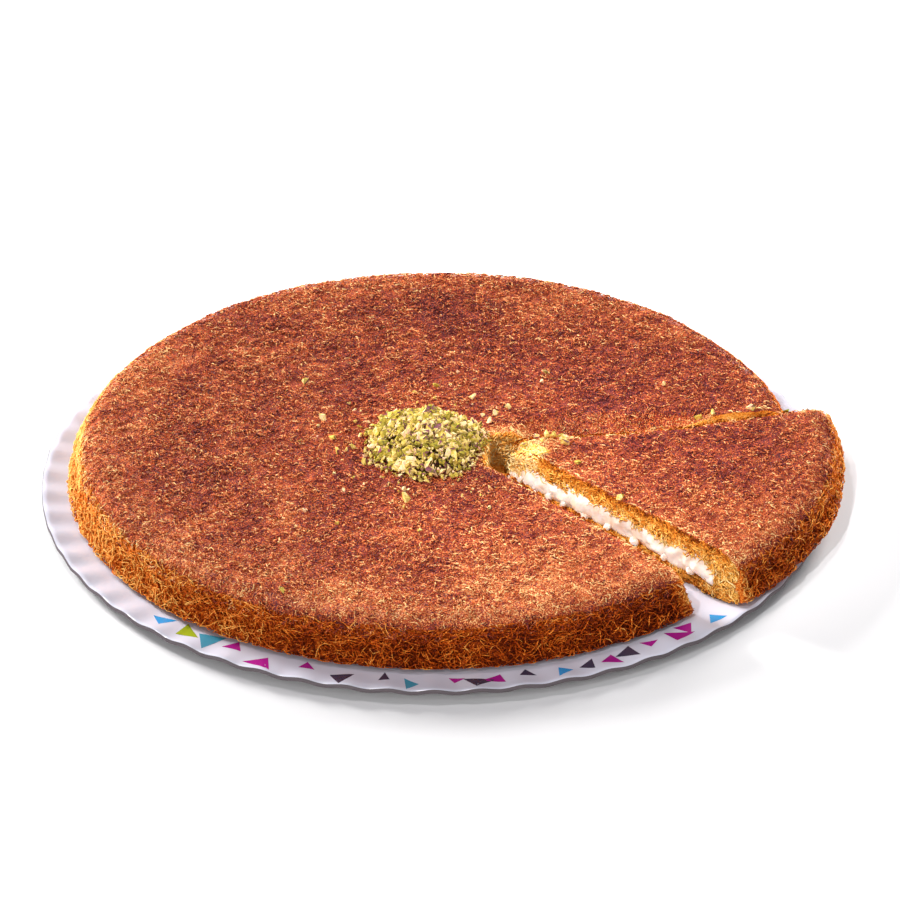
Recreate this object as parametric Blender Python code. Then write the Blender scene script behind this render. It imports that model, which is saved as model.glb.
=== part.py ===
"""Kunafa: a round of shredded pastry filled with cream, lying on its fluted cake tray.

The round sits a little behind the middle of the tray. One slice is cut free and drawn out to the
right, with the point of the wedge left behind in the round, and a heap of chopped pistachio lies
over the middle. Metres, +Z up, origin at the middle of the tray's underside, +Y towards the back.
Points named in the round's own plan are counted from the middle of the round.
"""

import math
import random

import bmesh
import bpy
from mathutils import Vector, noise

# Tray: pressed board with a flat bottom and a fluted rim that rises outwards
TRAY_RADIUS = 0.1640
TRAY_FLAT_RADIUS = 0.140
TRAY_BEND_RADIUS = 0.152
TRAY_THICKNESS = 0.0018
RIM_RISE = 0.0029
FLUTE_COUNT = 60
FLUTE_DEPTH = 0.0005
STEPS_PER_FLUTE = 4

# Round of pastry, and the gap that touching pieces keep
GAP = 0.0003
ROUND_CENTRE = Vector((0.0, 0.0071))
ROUND_RADIUS = 0.150
ROUND_HEIGHT = 0.0192
FOOT_SPREAD = 0.0028
FOOT_SKEW = 0.0020
FOOT_SKEW_ANGLE = math.radians(-110.0)
EDGE_ROUNDING = 0.011
SECTORS = 60
CORE_RADIUS = 0.138
BASE_THICKNESS = 0.0043
CREAM_THICKNESS = 0.0060
FOOD_FLOOR = TRAY_THICKNESS + GAP
FOOD_TOP = FOOD_FLOOR + ROUND_HEIGHT

# Relief of the baked surface and of the layers between
LUMP_SIZE = 0.024
LUMP_DEPTH = 0.0007
STRAND_SIZE = 0.007
STRAND_DEPTH = 0.0011
RIPPLE_SIZE = 0.030
RIPPLE_DEPTH = 0.0007

# Notch that the slice came out of, in the round's plan
NOTCH_APEX = Vector((0.001, -0.0082))
NOTCH_NEAR_ANGLE = math.radians(-47.5)
NOTCH_FAR_ANGLE = math.radians(10.2)
NOTCH_NEAR_START = 0.028
NOTCH_FAR_START = 0.020
BASE_TONGUE = 0.008
CREAM_RECESS = 0.002

# Slice, in the round's plan: its own arc has another centre, because it was drawn out. Its far cut
# is no straight line, and the table gives (distance along the cut, how far it stands out there).
SLICE_CENTRE = Vector((0.0185, 0.0025))
SLICE_APEX = Vector((0.0328, -0.0134))
SLICE_NEAR_ANGLE = math.radians(-46.4)
SLICE_FAR_ANGLE = math.radians(12.9)
SLICE_FAR_BULGE = (
    (0.0, 0.0042),
    (0.004, 0.0045),
    (0.012, 0.0040),
    (0.0225, 0.0024),
    (0.0365, 0.0002),
    (0.0505, -0.0011),
    (0.074, -0.0017),
    (0.098, -0.0001),
    (0.117, 0.0016),
    (0.150, 0.0016),
)
TIP_START = 0.0015
CRUST_TIP_START = 0.004
TIP_DROP = 0.0012
TIP_DROP_REACH = 0.012

# Cut walls: the foot of a wall stands further out than its top, and the cream swells out between
NEAR_LEAN = 0.0038
FAR_LEAN = 0.0010
CREAM_SWELL = 0.0009
RAGGED_SIZE = 0.006
RAGGED_DEPTH = 0.0005
WALL_STEPS = 12
WALL_LEVELS = 5
CUT_REACH = 0.200
CUT_MARGIN = 0.010

# Strip of the round that sags along the far cut, widest near its inner end, as (distance along the
# cut, width of the strip)
SAG_DEPTH = 0.0064
SAG_WIDTHS = ((0.030, 0.002), (0.040, 0.0105), (0.055, 0.0155), (0.107, 0.0045), (0.128, 0.001))
SAG_START = 0.030
SAG_RISE = 0.012
SAG_END = 0.128
SAG_FALL = 0.034

# Chopped pistachio: the heap, and the crumbs scattered round it as (x, y, size) in the round's plan
HEAP_CENTRE = Vector((-0.0040, -0.0148))
HEAP_RADII = (0.0258, 0.0266)
HEAP_HEIGHT = 0.0112
HEAP_SECTORS = 20
HEAP_RINGS = 4
GRAIN_COUNT = 66
GRAIN_SIZES = (0.0030, 0.0050)
GRAIN_REACH = 0.96
GRAIN_SEED = 11
CRUMBS = (
    (-0.054, 0.038, 0.0034),
    (-0.047, 0.009, 0.0036),
    (-0.041, -0.018, 0.0032),
    (-0.036, 0.020, 0.0028),
    (-0.012, -0.058, 0.0048),
    (0.045, 0.046, 0.0034),
    (0.017, 0.028, 0.0030),
    (-0.055, -0.064, 0.0026),
    (0.094, 0.035, 0.0026),
    (0.001, 0.036, 0.0026),
)
SLICE_CRUMBS = (
    (0.0505, -0.0145, 0.0040),
    (0.0560, -0.0165, 0.0034),
    (0.0610, -0.0300, 0.0028),
)


def clear_scene():
    for old in list(bpy.data.objects):
        bpy.data.objects.remove(old, do_unlink=True)


def material(name, colour, roughness):
    made = bpy.data.materials.new(name)
    made.use_nodes = True
    shader = made.node_tree.nodes["Principled BSDF"]
    shader.inputs["Base Color"].default_value = (*colour, 1.0)
    shader.inputs["Roughness"].default_value = roughness
    shader.inputs["Metallic"].default_value = 0.0
    return made


def mesh_object(name, points, faces, finish=None):
    mesh = bpy.data.meshes.new(name)
    mesh.from_pydata([tuple(p) for p in points], [], faces)
    mesh.validate()
    made = bpy.data.objects.new(name, mesh)
    bpy.context.scene.collection.objects.link(made)
    if finish:
        mesh.materials.append(finish)
    return made


def smooth(share):
    share = min(max(share, 0.0), 1.0)
    return share * share * (3 - 2 * share)


def mix(low, high, share):
    return low + (high - low) * share


def interpolate(table, at):
    """Value at a place in a table of (place, value), straight between its rows."""
    for (low, value), (high, next_value) in zip(table, table[1:]):
        if at <= high:
            return mix(value, next_value, max((at - low) / (high - low), 0.0))
    return table[-1][1]


def from_polar(angle, radius):
    return Vector((math.cos(angle), math.sin(angle))) * radius


def rim_share(radius):
    """0 on the tray's flat bottom, 1 at its edge, and more past the edge, where a slice overhangs."""
    return max((radius - TRAY_FLAT_RADIUS) / (TRAY_RADIUS - TRAY_FLAT_RADIUS), 0.0)


def rim_height(radius):
    """How far the tray has risen at this radius, without its flutes."""
    return RIM_RISE * rim_share(radius) ** 1.5


def settled(plan, height):
    """Height of a point of the food once its underside is lifted clear of the tray's rim."""
    radius = (plan + ROUND_CENTRE).length
    lift = rim_height(radius) + FLUTE_DEPTH * rim_share(radius)
    above = min(max((height - FOOD_FLOOR) / ROUND_HEIGHT, 0.0), 1.0)
    return height + lift * (1 - above)


def sag_of(plan):
    """Share of its height that the round loses beside the far cut."""
    out_along = from_polar(NOTCH_FAR_ANGLE, 1.0)
    from_apex = plan - NOTCH_APEX
    along = from_apex.dot(out_along)
    across = abs(out_along.x * from_apex.y - out_along.y * from_apex.x)
    fade = smooth((along - SAG_START) / SAG_RISE) * smooth((SAG_END - along) / SAG_FALL)
    width = interpolate(SAG_WIDTHS, along)
    share = max(1 - across / width, 0.0)
    return SAG_DEPTH * fade * share * (1.4 - 0.4 * share) / ROUND_HEIGHT


def tip_drop_of(plan):
    """Share of its height that the slice loses towards its tip."""
    return TIP_DROP * smooth(1 - (plan - SLICE_APEX).length / TIP_DROP_REACH) / ROUND_HEIGHT


def lump(plan, size, seed):
    return noise.noise(Vector((plan.x / size, plan.y / size, seed)))


def ripple_of(plan):
    """Waviness that the faces between two layers share, so that their gap stays even."""
    return RIPPLE_DEPTH * lump(plan, RIPPLE_SIZE, 5.0)


def heap_clearing(plan):
    """0 under the heap, where the crust stays flat, and 1 away from it."""
    return smooth(((plan - HEAP_CENTRE).length - 0.030) / 0.012)


def crust_profile():
    """(radius, height, kind) from the middle of the top, over the edge, and back under the crust."""
    points = [(0.001 * i, FOOD_TOP, "top") for i in (0, 14, 28, 40, 52, 64, 76, 88, 100, 113, 126)]
    rounding_centre = ROUND_RADIUS - EDGE_ROUNDING
    for degrees in (90, 66, 44, 22, 0):
        turn = math.radians(degrees)
        radius = rounding_centre + EDGE_ROUNDING * math.cos(turn)
        height = FOOD_TOP - EDGE_ROUNDING + EDGE_ROUNDING * math.sin(turn)
        points.append((radius, height, "side" if degrees < 80 else "top"))
    points.append((ROUND_RADIUS + FOOT_SPREAD * 0.6, FOOD_FLOOR + 0.0045, "side"))
    points.append((ROUND_RADIUS + FOOT_SPREAD, FOOD_FLOOR + 0.0016, "side"))
    points.append((ROUND_RADIUS + FOOT_SPREAD - 0.0016, FOOD_FLOOR, "plain"))
    points.append((CORE_RADIUS + GAP, FOOD_FLOOR, "plain"))
    under = FOOD_FLOOR + BASE_THICKNESS + CREAM_THICKNESS + 2 * GAP
    points.append((CORE_RADIUS + GAP, under, "layer"))
    points += [(radius, under, "layer") for radius in layer_radii()[::-1]]
    return points


def foot_skew(angle, height):
    """The foot stands out further on one side of the round than on the other."""
    above = min(max((height - FOOD_FLOOR) / (ROUND_HEIGHT - EDGE_ROUNDING), 0.0), 1.0)
    return FOOT_SKEW * math.cos(angle - FOOT_SKEW_ANGLE) * (1 - above)


def layer_radii():
    return [0.028 * i for i in range(5)]


def layer_profile(low, high, low_kind):
    outwards = [(radius, high, "layer") for radius in layer_radii()]
    inwards = [(radius, low, low_kind) for radius in layer_radii()[::-1]]
    edge = [(CORE_RADIUS, high, "layer"), (CORE_RADIUS, low, low_kind)]
    return outwards + edge + inwards


def turned(name, profile, centre, shrink_of, seed, finish):
    """A closed solid turned about the centre, with relief on its top and side.

    The diagonal of each four-sided patch always runs from the inner ring to the next sector of
    the outer one, so that two layers that face each other are split alike.
    """
    points = []
    for radius, height, kind in profile:
        sectors = 1 if radius == 0 else SECTORS
        for j in range(sectors):
            angle = 2 * math.pi * j / SECTORS
            reach = radius
            level = height
            plan = centre + from_polar(angle, radius)
            if kind == "side":
                around = Vector((plan.x, plan.y, height)) / STRAND_SIZE
                reach += STRAND_DEPTH * noise.noise(around + Vector((seed, 0, 0)))
                reach += LUMP_DEPTH * lump(plan, LUMP_SIZE, seed) + foot_skew(angle, height)
                plan = centre + from_polar(angle, reach)
            elif kind == "top":
                level += LUMP_DEPTH * lump(plan, LUMP_SIZE, seed) * heap_clearing(plan)
            elif kind == "layer":
                level += ripple_of(plan)
            level = FOOD_FLOOR + (level - FOOD_FLOOR) * (1 - shrink_of(plan))
            place = plan + ROUND_CENTRE
            points.append((place.x, place.y, settled(plan, level)))
    faces = []
    start = 0
    for (radius, _, _), (next_radius, _, _) in zip(profile, profile[1:]):
        here = 1 if radius == 0 else SECTORS
        after = start + here
        for j in range(SECTORS):
            k = (j + 1) % SECTORS
            if here == 1:
                faces.append((start, after + j, after + k))
            elif next_radius == 0:
                faces.append((start + j, after, start + k))
            elif next_radius >= radius:
                faces.append((start + j, after + j, after + k))
                faces.append((start + j, after + k, start + k))
            else:
                faces.append((start + j, after + j, start + k))
                faces.append((start + k, after + j, after + k))
        start = after
    return mesh_object(name, points, faces, finish)


def wall_points(start, angle, first, last, side, level, lean, swell, bulge=((0.0, 0.0),)):
    """Plan points along one cut wall at one height, pushed outwards by its lean and raggedness."""
    along = from_polar(angle, 1.0)
    outward = Vector((-along.y, along.x)) * side
    above = (level - FOOD_FLOOR) / ROUND_HEIGHT
    points = []
    for i in range(WALL_STEPS + 1):
        share = i / WALL_STEPS
        distance = mix(first, last, share)
        middle = start + along * distance
        spot = Vector((middle.x, middle.y, level)) / RAGGED_SIZE
        push = lean * (1 - min(max(above, 0.0), 1.0)) + swell + RAGGED_DEPTH * noise.noise(spot)
        push += interpolate(bulge, distance)
        points.append(middle + outward * push)
    return points


def wedge(name, loops, levels):
    """Closed prism through the outlines in loops, one for each height in levels."""
    count = len(loops[0])
    points = []
    for loop, level in zip(loops, levels):
        for plan in loop:
            place = plan + ROUND_CENTRE
            points.append((place.x, place.y, level))
    faces = [tuple(range(count))[::-1]]
    for row in range(len(levels) - 1):
        for j in range(count):
            k = (j + 1) % count
            a, b = row * count + j, row * count + k
            faces.append((a, b, b + count))
            faces.append((a, b + count, a + count))
    faces.append(tuple((len(levels) - 1) * count + j for j in range(count)))
    made = mesh_object(name, points, faces)
    work = bmesh.new()
    work.from_mesh(made.data)
    bmesh.ops.triangulate(work, faces=[face for face in work.faces if len(face.verts) > 4])
    bmesh.ops.recalc_face_normals(work, faces=work.faces)
    work.to_mesh(made.data)
    work.free()
    return made


def cut_levels():
    inner = [mix(FOOD_FLOOR, FOOD_TOP, i / WALL_LEVELS) for i in range(WALL_LEVELS + 1)]
    return [FOOD_FLOOR - CUT_MARGIN] + inner + [FOOD_TOP + CUT_MARGIN]


def notch_cutter(name, swell, further):
    """The space of the notch: the near wall, the outside, the far wall and the blunt inner end.

    The blunt end lies further out by the given distance to the right.
    """
    near_start = NOTCH_NEAR_START + further / math.cos(NOTCH_NEAR_ANGLE)
    far_start = NOTCH_FAR_START + further / math.cos(NOTCH_FAR_ANGLE)
    loops = []
    for level in cut_levels():
        near = wall_points(
            NOTCH_APEX, NOTCH_NEAR_ANGLE, near_start, CUT_REACH, 1, level, NEAR_LEAN, swell
        )
        far = wall_points(
            NOTCH_APEX, NOTCH_FAR_ANGLE, far_start, CUT_REACH, -1, level, FAR_LEAN, swell
        )
        end = [far[0].lerp(near[0], share) for share in (0.25, 0.5, 0.75)]
        for i, plan in enumerate(end):
            plan.x += 0.0012 * math.sin(2.1 * i + 300 * level) + swell
        loops.append(near + far[::-1] + end)
    return wedge(name, loops, cut_levels())


def slice_cutter(name, swell, tip_start):
    """The space of the slice: its near wall, the outside, its far wall and its rounded tip."""
    loops = []
    for level in cut_levels():
        near = wall_points(
            SLICE_APEX, SLICE_NEAR_ANGLE, tip_start, CUT_REACH, -1, level, NEAR_LEAN, swell
        )
        far = wall_points(
            SLICE_APEX,
            SLICE_FAR_ANGLE,
            tip_start,
            CUT_REACH,
            1,
            level,
            FAR_LEAN,
            swell,
            SLICE_FAR_BULGE,
        )
        inward = from_polar((SLICE_NEAR_ANGLE + SLICE_FAR_ANGLE) / 2, 1.0)
        blunt = [far[0].lerp(near[0], share) for share in (0.3, 0.7)]
        for plan in blunt:
            plan -= inward * 0.0016
        loops.append(near + far[::-1] + blunt)
    return wedge(name, loops, cut_levels())


def join(target, operation, tools, solver="EXACT"):
    """Applies one Boolean between the target and a collection of tools, and removes the tools."""
    group = bpy.data.collections.new("tools")
    for tool in tools:
        group.objects.link(tool)
    modifier = target.modifiers.new("join", "BOOLEAN")
    modifier.operation = operation
    modifier.operand_type = "COLLECTION"
    modifier.collection = group
    modifier.solver = solver
    graph = bpy.context.evaluated_depsgraph_get()
    joined = bpy.data.meshes.new_from_object(target.evaluated_get(graph))
    target.modifiers.remove(modifier)
    target.data = joined
    for tool in list(tools):
        bpy.data.objects.remove(tool, do_unlink=True)
    bpy.data.collections.remove(group)


def shaded(target, degrees):
    target.data.shade_smooth()
    target.data.set_sharp_from_angle(angle=math.radians(degrees))


def grain(place, size, rng):
    """One chopped piece: a low icosphere, stretched, knocked out of round and turned."""
    work = bmesh.new()
    bmesh.ops.create_icosphere(work, subdivisions=1, radius=size / 2)
    stretch = (rng.uniform(0.75, 1.15), rng.uniform(0.65, 1.0), rng.uniform(0.55, 0.85))
    for vert in work.verts:
        vert.co = Vector(c * s for c, s in zip(vert.co, stretch)) * rng.uniform(0.86, 1.12)
    turn = Vector((0, 0, 1)).rotation_difference(
        Vector((rng.uniform(-0.5, 0.5), rng.uniform(-0.5, 0.5), 1.0))
    )
    points = [turn @ vert.co + place for vert in work.verts]
    faces = [[vert.index for vert in face.verts] for face in work.faces]
    work.free()
    return mesh_object("grain", points, faces)


def heap_height(share):
    return HEAP_HEIGHT * (1 - share * share) ** 0.8


def heap_core(finish):
    """A low mound, thick enough at its foot for the grains to be fused on."""
    foot = FOOD_TOP + GAP
    points = [(0.0, 0.0, foot), (0.0, 0.0, foot + HEAP_HEIGHT)]
    for ring in range(HEAP_RINGS + 1):
        share = 1 - ring / (HEAP_RINGS + 1)
        level = foot + (heap_height(share) if ring else 0.0)
        for j in range(HEAP_SECTORS):
            angle = 2 * math.pi * j / HEAP_SECTORS
            uneven = 1 + 0.07 * noise.noise(Vector((math.cos(angle), math.sin(angle), 2.0)) * 1.6)
            x = HEAP_RADII[0] * share * uneven * math.cos(angle)
            y = HEAP_RADII[1] * share * uneven * math.sin(angle)
            points.append((x, y, level))
    faces = []
    for j in range(HEAP_SECTORS):
        k = (j + 1) % HEAP_SECTORS
        faces.append((0, 2 + k, 2 + j))
        for ring in range(HEAP_RINGS):
            a = 2 + ring * HEAP_SECTORS
            faces.append((a + j, a + k, a + HEAP_SECTORS + k, a + HEAP_SECTORS + j))
        last = 2 + HEAP_RINGS * HEAP_SECTORS
        faces.append((last + j, last + k, 1))
    middle = HEAP_CENTRE + ROUND_CENTRE
    placed = [(x + middle.x, y + middle.y, z) for x, y, z in points]
    return mesh_object("pistachio_heap", placed, faces, finish)


def build_heap(finish):
    """The core with the grains that show fused on, spread evenly over it by the golden angle."""
    heap = heap_core(finish)
    rng = random.Random(GRAIN_SEED)
    middle = HEAP_CENTRE + ROUND_CENTRE
    grains = []
    for i in range(GRAIN_COUNT):
        share = math.sqrt((i + 0.5) / GRAIN_COUNT) * GRAIN_REACH
        angle = i * math.radians(137.508)
        size = mix(*GRAIN_SIZES, rng.random())
        level = FOOD_TOP + GAP + max(heap_height(share), size * 0.35)
        x = middle.x + HEAP_RADII[0] * share * math.cos(angle)
        y = middle.y + HEAP_RADII[1] * share * math.sin(angle)
        grains.append(grain(Vector((x, y, level)), size, rng))
    join(heap, "UNION", grains)
    shaded(heap, 20)


def crumbs_on(target, places, centre_drop, rng):
    """Crumbs sunk a little into the crust at their places, fused to it."""
    grains = []
    for x, y, size in places:
        plan = Vector((x, y))
        level = FOOD_FLOOR + ROUND_HEIGHT * (1 - centre_drop(plan)) + size * 0.12
        place = plan + ROUND_CENTRE
        grains.append(grain(Vector((place.x, place.y, level)), size, rng))
    join(target, "UNION", grains)


def build_tray(finish):
    steps = FLUTE_COUNT * STEPS_PER_FLUTE
    radii = (TRAY_FLAT_RADIUS, TRAY_BEND_RADIUS, TRAY_RADIUS)
    rows = [(radius, TRAY_THICKNESS) for radius in radii] + [(radius, 0.0) for radius in radii[::-1]]
    points = [(0.0, 0.0, TRAY_THICKNESS)]
    for radius, base in rows:
        for j in range(steps):
            angle = 2 * math.pi * j / steps
            flute = FLUTE_DEPTH * rim_share(radius) * math.cos(FLUTE_COUNT * angle)
            level = base + rim_height(radius) + flute
            points.append((radius * math.cos(angle), radius * math.sin(angle), level))
    points.append((0.0, 0.0, 0.0))
    last = 1 + (len(rows) - 1) * steps
    faces = []
    for j in range(steps):
        k = (j + 1) % steps
        faces.append((0, 1 + j, 1 + k))
        for row in range(len(rows) - 1):
            a = 1 + row * steps
            faces.append((a + j, a + steps + j, a + steps + k, a + k))
        faces.append((last + j, len(points) - 1, last + k))
    shaded(mesh_object("tray", points, faces, finish), 35)


def build_round(prefix, centre, shrink_of, seed, finishes, cutter_for, operation):
    """Crust, cream and base of the round or of the slice, each cut by its own wedge."""
    cream_low = FOOD_FLOOR + BASE_THICKNESS + GAP
    cream_high = cream_low + CREAM_THICKNESS
    layers = (
        ("crust", crust_profile(), 0.0),
        ("filling", layer_profile(cream_low, cream_high, "layer"), CREAM_SWELL),
        ("base", layer_profile(FOOD_FLOOR, FOOD_FLOOR + BASE_THICKNESS, "plain"), 0.0),
    )
    made = {}
    for (layer, profile, swell), finish in zip(layers, finishes):
        name = f"{prefix}_{layer}"
        made[layer] = turned(name, profile, centre, shrink_of, seed, finish)
        join(made[layer], operation, [cutter_for(layer, swell)])
        shaded(made[layer], 50)
    return made


def main():
    clear_scene()
    board = material("laminated board", (0.84, 0.82, 0.90), 0.35)
    crust = material("baked shredded pastry", (0.42, 0.12, 0.03), 0.5)
    cream = material("clotted cream", (0.90, 0.78, 0.66), 0.35)
    base = material("pale shredded pastry", (0.70, 0.40, 0.10), 0.6)
    nuts = material("chopped pistachio", (0.52, 0.52, 0.16), 0.7)
    build_tray(board)
    rng = random.Random(GRAIN_SEED + 1)
    notch_ends = {"crust": 0.0, "filling": -CREAM_RECESS, "base": BASE_TONGUE}
    body = build_round(
        "body",
        Vector((0.0, 0.0)),
        sag_of,
        1.0,
        (crust, cream, base),
        lambda layer, swell: notch_cutter("notch", swell, notch_ends[layer]),
        "DIFFERENCE",
    )
    crumbs_on(body["crust"], CRUMBS, sag_of, rng)
    piece = build_round(
        "slice",
        SLICE_CENTRE,
        tip_drop_of,
        7.0,
        (crust, cream, base),
        lambda layer, swell: slice_cutter(
            "wedge", swell, CRUST_TIP_START if layer == "crust" else TIP_START
        ),
        "INTERSECT",
    )
    crumbs_on(piece["crust"], SLICE_CRUMBS, tip_drop_of, rng)
    build_heap(nuts)


main()
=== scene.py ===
# %% [markdown]
# # A kunafa on its cake tray
# The real thing is a flat round of shredded pastry with cream inside, baked brown and drenched in
# syrup. It lies on a tray of laminated board, one slice is drawn out, and chopped pistachio is heaped
# on top. The solids hold the true sizes. This script dresses them: fine surfaces worked out with
# numpy, many thousands of real shreds, and node materials.

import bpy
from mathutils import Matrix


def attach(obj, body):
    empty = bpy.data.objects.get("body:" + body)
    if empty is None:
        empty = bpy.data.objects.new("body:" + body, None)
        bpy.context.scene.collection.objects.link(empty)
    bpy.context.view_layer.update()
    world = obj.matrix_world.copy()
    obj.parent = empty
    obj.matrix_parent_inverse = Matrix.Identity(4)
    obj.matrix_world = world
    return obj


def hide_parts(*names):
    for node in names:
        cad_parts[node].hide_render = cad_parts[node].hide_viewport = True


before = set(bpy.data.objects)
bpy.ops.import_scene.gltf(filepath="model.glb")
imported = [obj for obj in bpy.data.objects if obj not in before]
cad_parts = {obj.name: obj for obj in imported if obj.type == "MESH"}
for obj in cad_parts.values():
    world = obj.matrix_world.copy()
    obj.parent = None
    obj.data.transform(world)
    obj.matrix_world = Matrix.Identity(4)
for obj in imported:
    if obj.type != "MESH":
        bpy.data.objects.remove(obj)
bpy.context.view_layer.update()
print("solids:", ", ".join(sorted(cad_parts)))

# %% Modules, units and colour handling
import math

import bmesh
import bpy
import numpy as np
from mathutils import Vector

MM = 0.001
scene = bpy.context.scene
scene.view_settings.view_transform = "Standard"
print("view transform:", scene.view_settings.view_transform)

# %% [markdown]
# ## Camera and light
# The food is seen from about 30 degrees above the floor with a long lens, from straight in front.
# Two main lamps stand low behind it, left and right, and leave only the front in soft shadow. Two
# wide weaker lamps stand low in front and light the side, a small one high up gives every shred its
# glint, a narrow spot brings out the cream in the cut, and a bright tent fills the rest.

# %% Camera
CAMERA_TARGET = Vector((6.05 * MM, 25.62 * MM, 0.0))
CAMERA_ELEVATION = math.radians(30.16)
CAMERA_DISTANCE = 1.5
CAMERA_LENS = 140.99

camera_data = bpy.data.cameras.new("camera")
camera_data.lens = CAMERA_LENS
camera_data.clip_end = 20.0
camera = bpy.data.objects.new("camera", camera_data)
scene.collection.objects.link(camera)
backwards = Vector((0, -math.cos(CAMERA_ELEVATION), math.sin(CAMERA_ELEVATION)))
camera.location = CAMERA_TARGET + backwards * CAMERA_DISTANCE
camera.rotation_euler = (-backwards).to_track_quat("-Z", "Y").to_euler()
scene.camera = camera
print("camera stands at", [round(v, 3) for v in camera.location])


# %% Lamps and sky
TRAY_MIDDLE = (0.0, 0.0, 0.0)
CUT_MIDDLE = (0.054, -0.022, 0.012)


def add_lamp(name, kind, place, target, power, colour):
    """A lamp at a place that looks at a target: its own -Z points there."""
    lamp = bpy.data.lights.new(name, kind)
    lamp.energy = power
    lamp.color = colour
    made = bpy.data.objects.new(name, lamp)
    scene.collection.objects.link(made)
    made.location = place
    made.rotation_euler = (Vector(target) - Vector(place)).to_track_quat("-Z", "Y").to_euler()
    return made


for lamp_name, place, size, power in (
    ("back_left_lamp", (-1.22, 1.22, 0.53), 0.5, 82.0),
    ("back_right_lamp", (0.93, 1.46, 0.53), 0.5, 60.0),
    ("front_left_lamp", (-1.45, -1.40, 0.28), 1.2, 40.0),
    ("front_right_lamp", (1.45, -1.30, 0.28), 1.2, 19.0),
):
    soft_lamp = add_lamp(lamp_name, "AREA", place, TRAY_MIDDLE, power, (1.0, 0.99, 0.97))
    soft_lamp.data.size = size
    soft_lamp.visible_glossy = False

glint_lamp = add_lamp("glint_lamp", "AREA", (-0.45, 0.75, 1.60), TRAY_MIDDLE, 8.0, (1.0, 0.94, 0.96))
glint_lamp.data.size = 0.15

cut_lamp = add_lamp("cut_lamp", "SPOT", (-0.77, -0.66, 1.55), CUT_MIDDLE, 135.0, (1.0, 1.0, 1.0))
cut_lamp.data.spot_size = math.radians(8)
cut_lamp.data.spot_blend = 1.0
cut_lamp.data.shadow_soft_size = 0.05
cut_lamp.visible_glossy = False

world = bpy.data.worlds.new("bright tent")
scene.world = world
world.use_nodes = True
world.node_tree.nodes["Background"].inputs["Color"].default_value = (0.95, 0.97, 1.0, 1.0)
world.node_tree.nodes["Background"].inputs["Strength"].default_value = 0.18


# %% [markdown]
# ## Helpers
# Every material is written in sRGB hex, as a painter reads colours, and one function turns it to
# linear light. One function adds a node with its settings and links. Meshes go in as whole arrays.

# %% Colour and node helpers
def linear(hex_colour):
    """Linear RGBA of sRGB hex: c / 12.92 below 0.04045, otherwise ((c + 0.055) / 1.055) ** 2.4."""
    channels = [int(hex_colour[i : i + 2], 16) / 255 for i in (1, 3, 5)]
    return [c / 12.92 if c < 0.04045 else ((c + 0.055) / 1.055) ** 2.4 for c in channels] + [1.0]


def add_node(tree, kind, inputs=None, stops=None, **settings):
    """Adds a node. An input given a socket is linked, any other value is set; stops fill a ramp."""
    node = tree.nodes.new(kind)
    for name, value in settings.items():
        setattr(node, name, value)
    for name, value in (inputs or {}).items():
        if isinstance(value, bpy.types.NodeSocket):
            tree.links.new(value, node.inputs[name])
        else:
            node.inputs[name].default_value = value
    if stops:
        ramp = node.color_ramp.elements
        ramp[0].position, ramp[1].position = stops[0][0], stops[-1][0]
        for place, _ in stops[1:-1]:
            ramp.new(place)
        for element, (_, colour) in zip(ramp, stops):
            element.color = linear(colour)
    return node


def new_material(name):
    """An empty material with its tree and its Principled shader."""
    made = bpy.data.materials.new(name)
    made.use_nodes = True
    return made, made.node_tree, made.node_tree.nodes["Principled BSDF"]


print("white in linear light:", linear("#FFFFFF"))

# %% Array helpers
def smooth(share):
    """0 to 1 with soft ends: t * t * (3 - 2 t)."""
    share = np.clip(share, 0.0, 1.0)
    return share * share * (3 - 2 * share)


def mix(low, high, share):
    return low + (high - low) * share


LATTICE = np.random.default_rng(41).random((32, 32, 32))


def soft_noise(x, y, z):
    """Smooth noise from -1 to 1: random corner values of a unit lattice, blended by smooth()."""
    x, y, z = np.broadcast_arrays(x, y, z)
    cells = [np.floor(c).astype(int) for c in (x, y, z)]
    blends = [smooth(c - cell) for c, cell in zip((x, y, z), cells)]
    total = np.zeros(x.shape)
    for corner in np.ndindex(2, 2, 2):
        weight = 1.0
        for blend, side in zip(blends, corner):
            weight = weight * (blend if side else 1 - blend)
        total += weight * LATTICE[tuple((cell + side) % 32 for cell, side in zip(cells, corner))]
    return 2 * total - 1


def piece_from(name, points, faces, finish, replaced=(), marks=None, merge=False):
    """A mesh object from an (n, 3) array and a list of (m, corners) arrays, riding on the root."""
    mesh = bpy.data.meshes.new(name)
    corners = np.concatenate([f.ravel() for f in faces]).astype(np.int32)
    sizes = np.concatenate([np.full(len(f), f.shape[1]) for f in faces])
    mesh.vertices.add(len(points))
    mesh.vertices.foreach_set("co", np.asarray(points, np.float32).ravel())
    mesh.loops.add(len(corners))
    mesh.loops.foreach_set("vertex_index", corners)
    mesh.polygons.add(len(sizes))
    mesh.polygons.foreach_set("loop_start", (np.cumsum(sizes) - sizes).astype(np.int32))
    mesh.update(calc_edges=True)
    for mark, values in (marks or {}).items():
        values = np.asarray(values, np.float32).ravel()
        layer = mesh.attributes.new(mark, "FLOAT", "POINT" if len(values) == len(points) else "FACE")
        layer.data.foreach_set("value", values)
    if merge:
        work = bmesh.new()
        work.from_mesh(mesh)
        bmesh.ops.remove_doubles(work, verts=work.verts, dist=1e-6)
        work.to_mesh(mesh)
        work.free()
    mesh.shade_smooth()
    mesh.materials.append(finish)
    made = bpy.data.objects.new(name, mesh)
    scene.collection.objects.link(made)
    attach(made, "root")
    if replaced:
        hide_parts(*replaced)
    print(f"{name}: {len(points)} points, {int((sizes - 2).sum())} triangles")
    return made


print("noise at a point:", round(float(soft_noise(0.3, 0.7, 1.1)), 3))

# %% [markdown]
# ## The floor
# A plain pale floor, wide enough to fill the picture. It is only a stage, not part of the dessert.

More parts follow.
